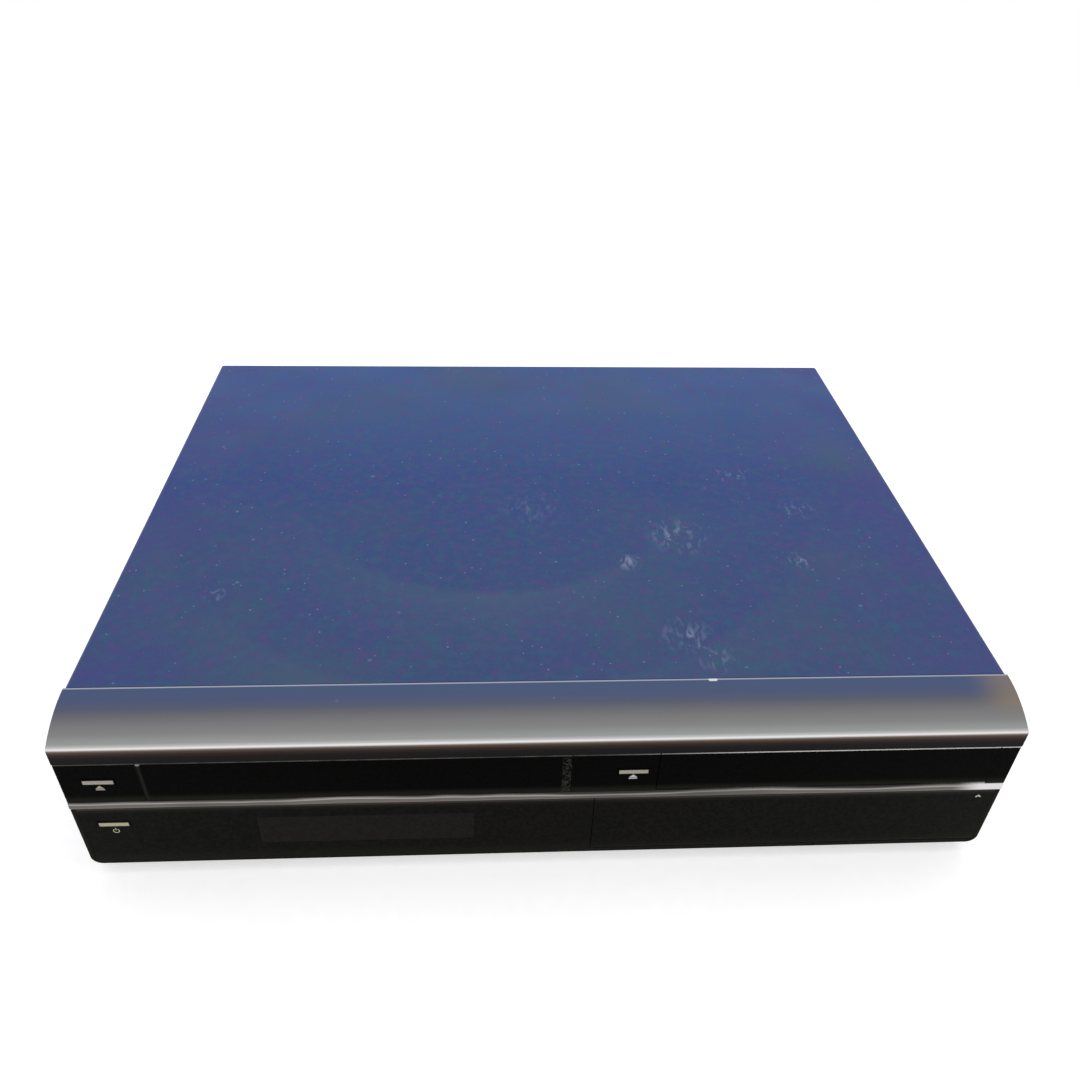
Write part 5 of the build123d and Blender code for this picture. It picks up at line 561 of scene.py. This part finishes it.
# %% One screw head with its cross cut in
HEAD_RISE = 1.2
dome = [(0, 0), (3.6, 0), (3.6, 0.5), (3.3, 0.95), (2.4, 1.15), (0, HEAD_RISE)]
head = piece("plain_head", turned(dome, [(0, 0)], 32), dark_screw, None)
cross = bmesh.new()
CROSS_LENGTH, CROSS_WIDTH, CROSS_DEPTH = 3.8, 0.8, 0.7
for width, height in ((CROSS_LENGTH, CROSS_WIDTH), (CROSS_WIDTH, CROSS_LENGTH)):
    size = Matrix.Diagonal((width * MM, 2 * CROSS_DEPTH * MM, height * MM, 1))
    bmesh.ops.create_cube(cross, size=1, matrix=Matrix.Translation((0, HEAD_RISE * MM, 0)) @ size)
cutter = piece("cross_cutter", cross, dark_screw, None)
cut = head.modifiers.new("cross", "BOOLEAN")
cut.object, cut.operation, cut.solver, cut.use_self = cutter, "DIFFERENCE", "EXACT", True
bpy.context.view_layer.update()
cut_head = bpy.data.meshes.new_from_object(head.evaluated_get(bpy.context.evaluated_depsgraph_get()))
bpy.data.objects.remove(head)
bpy.data.objects.remove(cutter)
print(f"one screw head, {len(cut_head.polygons)} faces")


# %% The screws
def screws(name, places):
    """Cut heads in one mesh. A place is a turn about Z to face outwards, a point in mm and a scale."""
    shape = bmesh.new()
    for outward, (x, y, z), scale in places:
        start = len(shape.verts)
        shape.from_mesh(cut_head)
        shape.verts.ensure_lookup_table()
        facing = Matrix.Translation((x * MM, y * MM, z * MM)) @ Matrix.Rotation(radians(outward), 4, "Z")
        # No two screws stop at the same turn, so each takes one from its own numbers.
        stopped = Matrix.Rotation(outward + x, 4, "Y") @ Matrix.Scale(scale, 4)
        bmesh.ops.transform(shape, verts=shape.verts[start:], matrix=facing @ stopped)
    print(f"{name}: {len(places)} heads, {len(shape.faces)} faces")
    return piece(name, shape, dark_screw)


COVER_SIDE, REAR = 215, 168  # the cover's side and rear planes, in mm
side_places = [(side * -90, (side * COVER_SIDE, y, 17), 1) for side in (-1, 1) for y in (-102.6, 123)]
rear_places = [(0, (x, REAR, 91), 1) for x in (-172, 0, 172)]
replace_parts(screws("cover_screw_heads", side_places + rear_places), "cover_screws")
FAN_LEFT, FAN_RIGHT, FAN_LOW, FAN_HIGH = -77, -27, 25, 75  # the fan's four holes
fan_places = [(0, (x, REAR, z), 0.9) for x in (FAN_LEFT, FAN_RIGHT) for z in (FAN_LOW, FAN_HIGH)]
screws("fan_screw_heads", fan_places)

# %% [markdown]
# The round sockets have a metal sleeve, a coloured insulator inside and a contact with a hole in the middle.
# The usual colours tell picture, left and right sound apart. Colour on the sleeve's floor would look flat
# from the side, so both inserts are turned rings with their own depth. The first front socket takes a small
# round plug with four pins, so it has a black insulator with four holes.

# %% Socket inserts
picture_yellow = grained("yellow socket insulator", "#c9a51c", "#d6b22a", 0.45, 0.6 * MM, IOR=1.5)
sound_white = grained("white socket insulator", "#d0cdc6", "#dcd9d2", 0.45, 0.6 * MM, IOR=1.5)
sound_red = grained("red socket insulator", "#a3231d", "#b12e27", 0.45, 0.6 * MM, IOR=1.5)
LOW_ROW, HIGH_ROW, FRONT_ROW = 28.6, 42.6, 22
# Each group has its colour, its (x, z) spots in mm, and 1 for the rear or -1 for the front.
JACK_SPOTS = {
    "rear_yellow": (picture_yellow, [(20, HIGH_ROW), (20, LOW_ROW)], 1),
    "rear_white": (sound_white, [(34, HIGH_ROW), (34, LOW_ROW), (62, HIGH_ROW)], 1),
    "rear_red": (sound_red, [(48, HIGH_ROW), (48, LOW_ROW), (62, LOW_ROW)], 1),
    "front_yellow": (picture_yellow, [(59.8, FRONT_ROW)], -1),
    "front_white": (sound_white, [(73.8, FRONT_ROW)], -1),
    "front_red": (sound_red, [(87.8, FRONT_ROW)], -1),
}
INSULATOR_RADIUS, CONTACT_RADIUS, CONTACT_BORE = 3.4, 1.8, 1.0
REAR_SLEEVES, FRONT_SLEEVES = (171.6, 166.4), (-162.8, -156.6)  # where the inserts begin and end in depth
for name, (finish, spots, side) in JACK_SPOTS.items():
    face, floor_y = REAR_SLEEVES if side > 0 else FRONT_SLEEVES
    rim, tip = face + 0.3 * side, face - 0.7 * side
    hole = CONTACT_RADIUS + 0.1
    insulator = [(hole, floor_y), (INSULATOR_RADIUS, floor_y), (INSULATOR_RADIUS, face),
                 (INSULATOR_RADIUS - 0.3, rim), (hole + 0.3, rim), (hole, face)]
    contact = [(CONTACT_BORE, floor_y), (CONTACT_RADIUS, floor_y), (CONTACT_RADIUS, tip), (CONTACT_BORE, tip)]
    piece(f"{name}_insulators", turned(insulator, spots), finish)
    piece(f"{name}_contacts", turned(contact, spots, 16), brass)
print(f"inserts for {sum(len(spots) for finish, spots, side in JACK_SPOTS.values())} round sockets")

# %% The insulator with four pin holes
ROUND_X = 45.8
PINS = ((-1.6, 0.4), (1.6, 0.4), (-1.1, -1.5), (1.1, -1.5))
pin_holes = [arc(0.45, 0, 360, 10, ROUND_X + across, FRONT_ROW + up)[:-1] for across, up in PINS]
disc = arc(INSULATOR_RADIUS, 0, 360, 32, ROUND_X, FRONT_ROW)[:-1]
key_slot = bar(ROUND_X, FRONT_ROW + 1.9, 1.6, 0.8)
outlines = [disc, key_slot] + pin_holes
plate("front_round_insulator", outlines, 3.0, black_abs, "cabinet", place=(0, -161.0, 0))
print(f"round insulator with {len(PINS)} pin holes")

# %% [markdown]
# The three keys behind the door carry the plain marks for record, stop and play: a red dot, a square and a
# triangle. They are printed as the marks on the front are, so the same plates draw them.

# %% Key marks
KEY_FACE, KEY_Z = -160.6, 40.6
RECORD_X, STOP_X, PLAY_X = 51.8, 71.8, 91.8
dot = arc(1.2, 0, 360, 24, RECORD_X, KEY_Z)[:-1]
square = bar(STOP_X, KEY_Z, 2.0, 2.0)
triangle = [(PLAY_X - 0.9, KEY_Z - 1.2), (PLAY_X + 1.2, KEY_Z), (PLAY_X - 0.9, KEY_Z + 1.2)]
ON_KEY = (0, KEY_FACE - INK / 2, 0)
key_marks = (("record", dot, sound_red), ("stop", square, white_ink), ("play", triangle, white_ink))
for name, outline, finish in key_marks:
    plate(f"{name}_mark", [outline], INK, finish, f"{name}_key", place=ON_KEY)
print(f"marks on {len(key_marks)} keys")

# %% [markdown]
# ## Boards and sockets in their own materials
# Each board is one CAD node with everything that is soldered to it, so what stands on it is told by its
# height and place. Chips and capacitors are dark, heat sinks are aluminium, the screened box is zinc-plated,
# and the transformer's winding has yellow tape. Socket shells are plated steel.

# %% Boards and sockets
BOARD_TOP = 18.7
winding_tape = grained("yellow polyester tape", "#b8952a", "#c7a53a", 0.5, 4 * MM, IOR=1.55)
for name in ("main_board", "tuner_board", "power_supply"):
    paint(name, black_abs, lambda at, normal: at.z > BOARD_TOP)
# Node, finish, lowest height, middle across and in depth, and reach to each side, all in mm.
RAISED = (
    ("main_board", aluminium, 21.2, 133.8, 94.7, 21, 21),  # heat sink
    ("main_board", white_acetal, BOARD_TOP, 133.8, 35.4, 31, 4),  # long connector
    ("tuner_board", zinc, BOARD_TOP, 33.8, 126, 17.5, 25.5),  # screened box
    ("power_supply", aluminium, BOARD_TOP, -147.7, 150, 19, 6.5),  # heat sink
    ("power_supply", bright_steel, BOARD_TOP, -187.7, 79.4, 11, 3),  # fuse
)
for name, finish, low, x, y, reach_x, reach_y in RAISED:
    paint(name, finish, lambda at, normal: at.z > low and abs(at.x - x) < reach_x and abs(at.y - y) < reach_y)
TRANSFORMER_X, TRANSFORMER_Y, CORE_REACH = -123.7, 116.7, 6.2


def wound(at, normal):
    """Whether a face is part of the transformer's winding, which shows in front of its core and behind it."""
    across, deep = abs(at.x - TRANSFORMER_X), abs(at.y - TRANSFORMER_Y)
    return at.z > 23 and across < 12 and CORE_REACH < deep < 12.5


paint("power_supply", winding_tape, wound)

# %% Socket shells
# The threaded aerial sockets, and the sleeves of the round sockets.
paint("rear_panel_sockets", bright_steel,
      lambda at, normal: at.y > 165.9 and (at.x < 1 or 14 < at.x < 68) and at.z > 20)
# The folded shells of the video and network sockets.
paint("rear_panel_sockets", zinc, lambda at, normal: 133 < at.x < 176 and at.y > 150)
# The round sockets' sleeves behind the door, and the card slot with the flat sockets to its right.
paint("front_sockets", bright_steel, lambda at, normal: at.z < 27 and (at.x > 104 or at.y < -157.3))
# The board behind the keys.
paint("front_sockets", green_board, lambda at, normal: at.z > 34.5 and at.y > -151.5)

# %% [markdown]
# ## The studio
# The recorder stands on a white paper floor under a pale sky, with one wide soft light overhead and a weaker
# one in front. More light would make the background white too, but it would wash out the recorder. So the
# floor and the sky are made white only for the rays that see them straight on, in gloss or through glass,
# while the light on the recorder stays at a level at which a colour looks as written, and its shadow stays on
# the floor.

# %% Floor and sky
REACH = 1.7  # from the middle of the floor to each side, in metres
corners = [(-REACH, -REACH, 0), (REACH, -REACH, 0), (REACH, REACH, 0), (-REACH, REACH, 0)]
floor_mesh = bpy.data.meshes.new("floor")
floor_mesh.from_pydata(corners, [], [(0, 1, 2, 3)])
floor = bpy.data.objects.new("floor", floor_mesh)
bpy.context.scene.collection.objects.link(floor)
paper = grained("white paper floor", "#f1f1f1", "#f6f6f6", 0.9, 5 * MM)
floor_mesh.materials.append(paper)


def straight_sight(material):
    """1 for rays from the camera, off gloss or through glass, and 0 for the rays that carry diffuse light."""
    kinds = add(material, "ShaderNodeLightPath").outputs
    both = {0: kinds["Is Camera Ray"], 1: kinds["Is Glossy Ray"]}
    seen = add(material, "ShaderNodeMath", both, operation="MAXIMUM").outputs["Value"]
    all_kinds = {0: seen, 1: kinds["Is Transmission Ray"]}
    return add(material, "ShaderNodeMath", all_kinds, operation="MAXIMUM").outputs["Value"]


paper_shader = paper.node_tree.nodes["Principled BSDF"]
paper_shader.inputs["Emission Color"].default_value = linear("#ffffff")
PAPER_LIFT = 0.42
lifts = {"Value": straight_sight(paper), "To Min": 0.0, "To Max": PAPER_LIFT}
lift = add(paper, "ShaderNodeMapRange", lifts)
paper.node_tree.links.new(lift.outputs["Result"], paper_shader.inputs["Emission Strength"])

world = bpy.data.worlds.new("pale room")
bpy.context.scene.world = world
world.use_nodes = True
SKY_LIGHT, SKY_SEEN = 0.55, 1.0
levels = {"Value": straight_sight(world), "To Min": SKY_LIGHT, "To Max": SKY_SEEN}
level = add(world, "ShaderNodeMapRange", levels)
world.node_tree.links.new(level.outputs["Result"], world.node_tree.nodes["Background"].inputs["Strength"])
world.node_tree.nodes["Background"].inputs["Color"].default_value = linear("#ffffff")
print(f"floor {2 * REACH} m wide, sky at {SKY_LIGHT} for light and {SKY_SEEN} for sight")

# %% Lamps
def softbox(name, place, target, width, length, power):
    """A wide area lamp at that place, aimed at the target."""
    lamp = bpy.data.lights.new(name, "AREA")
    lamp.shape, lamp.size, lamp.size_y, lamp.energy = "RECTANGLE", width, length, power
    holder = bpy.data.objects.new(name, lamp)
    bpy.context.scene.collection.objects.link(holder)
    holder.location = place
    holder.rotation_euler = (Vector(target) - Vector(place)).to_track_quat("-Z", "Y").to_euler()
    return holder


overhead = softbox("overhead softbox", (0.15, -0.1, 1.7), (0, 0, 0.05), 2.4, 1.6, 11)
front = softbox("front softbox", (-0.4, -1.8, 1.1), (0, -0.1, 0.05), 1.6, 1.0, 5)
print(f"{overhead.name} of {overhead.data.energy} W, {front.name} of {front.data.energy} W")

# %% [markdown]
# ## The camera
# The photograph was taken by hand from a little above the front edge, slightly left of the middle, with a
# wide lens. Moving a camera by eye would never match it, so the place, the turn, the tilt, the small roll and
# the lens were fitted together until the recorder's corners fell where the photograph has them.

# %% Camera
LENS, SENSOR = 31.49, 36  # both in mm
EYE = Vector((-0.0272, -0.4522, 0.4064))
YAW, PITCH, ROLL = radians(3.983), radians(36.78), radians(2.009)
ahead = Vector((sin(YAW) * cos(PITCH), cos(YAW) * cos(PITCH), -sin(PITCH)))
level_right = ahead.cross(Vector((0, 0, 1))).normalized()
level_up = level_right.cross(ahead)
right = level_right * cos(ROLL) + level_up * sin(ROLL)
up = level_up * cos(ROLL) - level_right * sin(ROLL)
camera = bpy.data.objects.new("camera", bpy.data.cameras.new("camera"))
bpy.context.scene.collection.objects.link(camera)
camera.data.lens, camera.data.sensor_width = LENS, SENSOR
camera.matrix_world = Matrix.Translation(EYE) @ Matrix((right, up, -ahead)).transposed().to_4x4()
bpy.context.scene.camera = camera
bpy.context.scene.view_settings.view_transform = "Standard"
print(f"camera at {tuple(round(value, 4) for value in EYE)}")
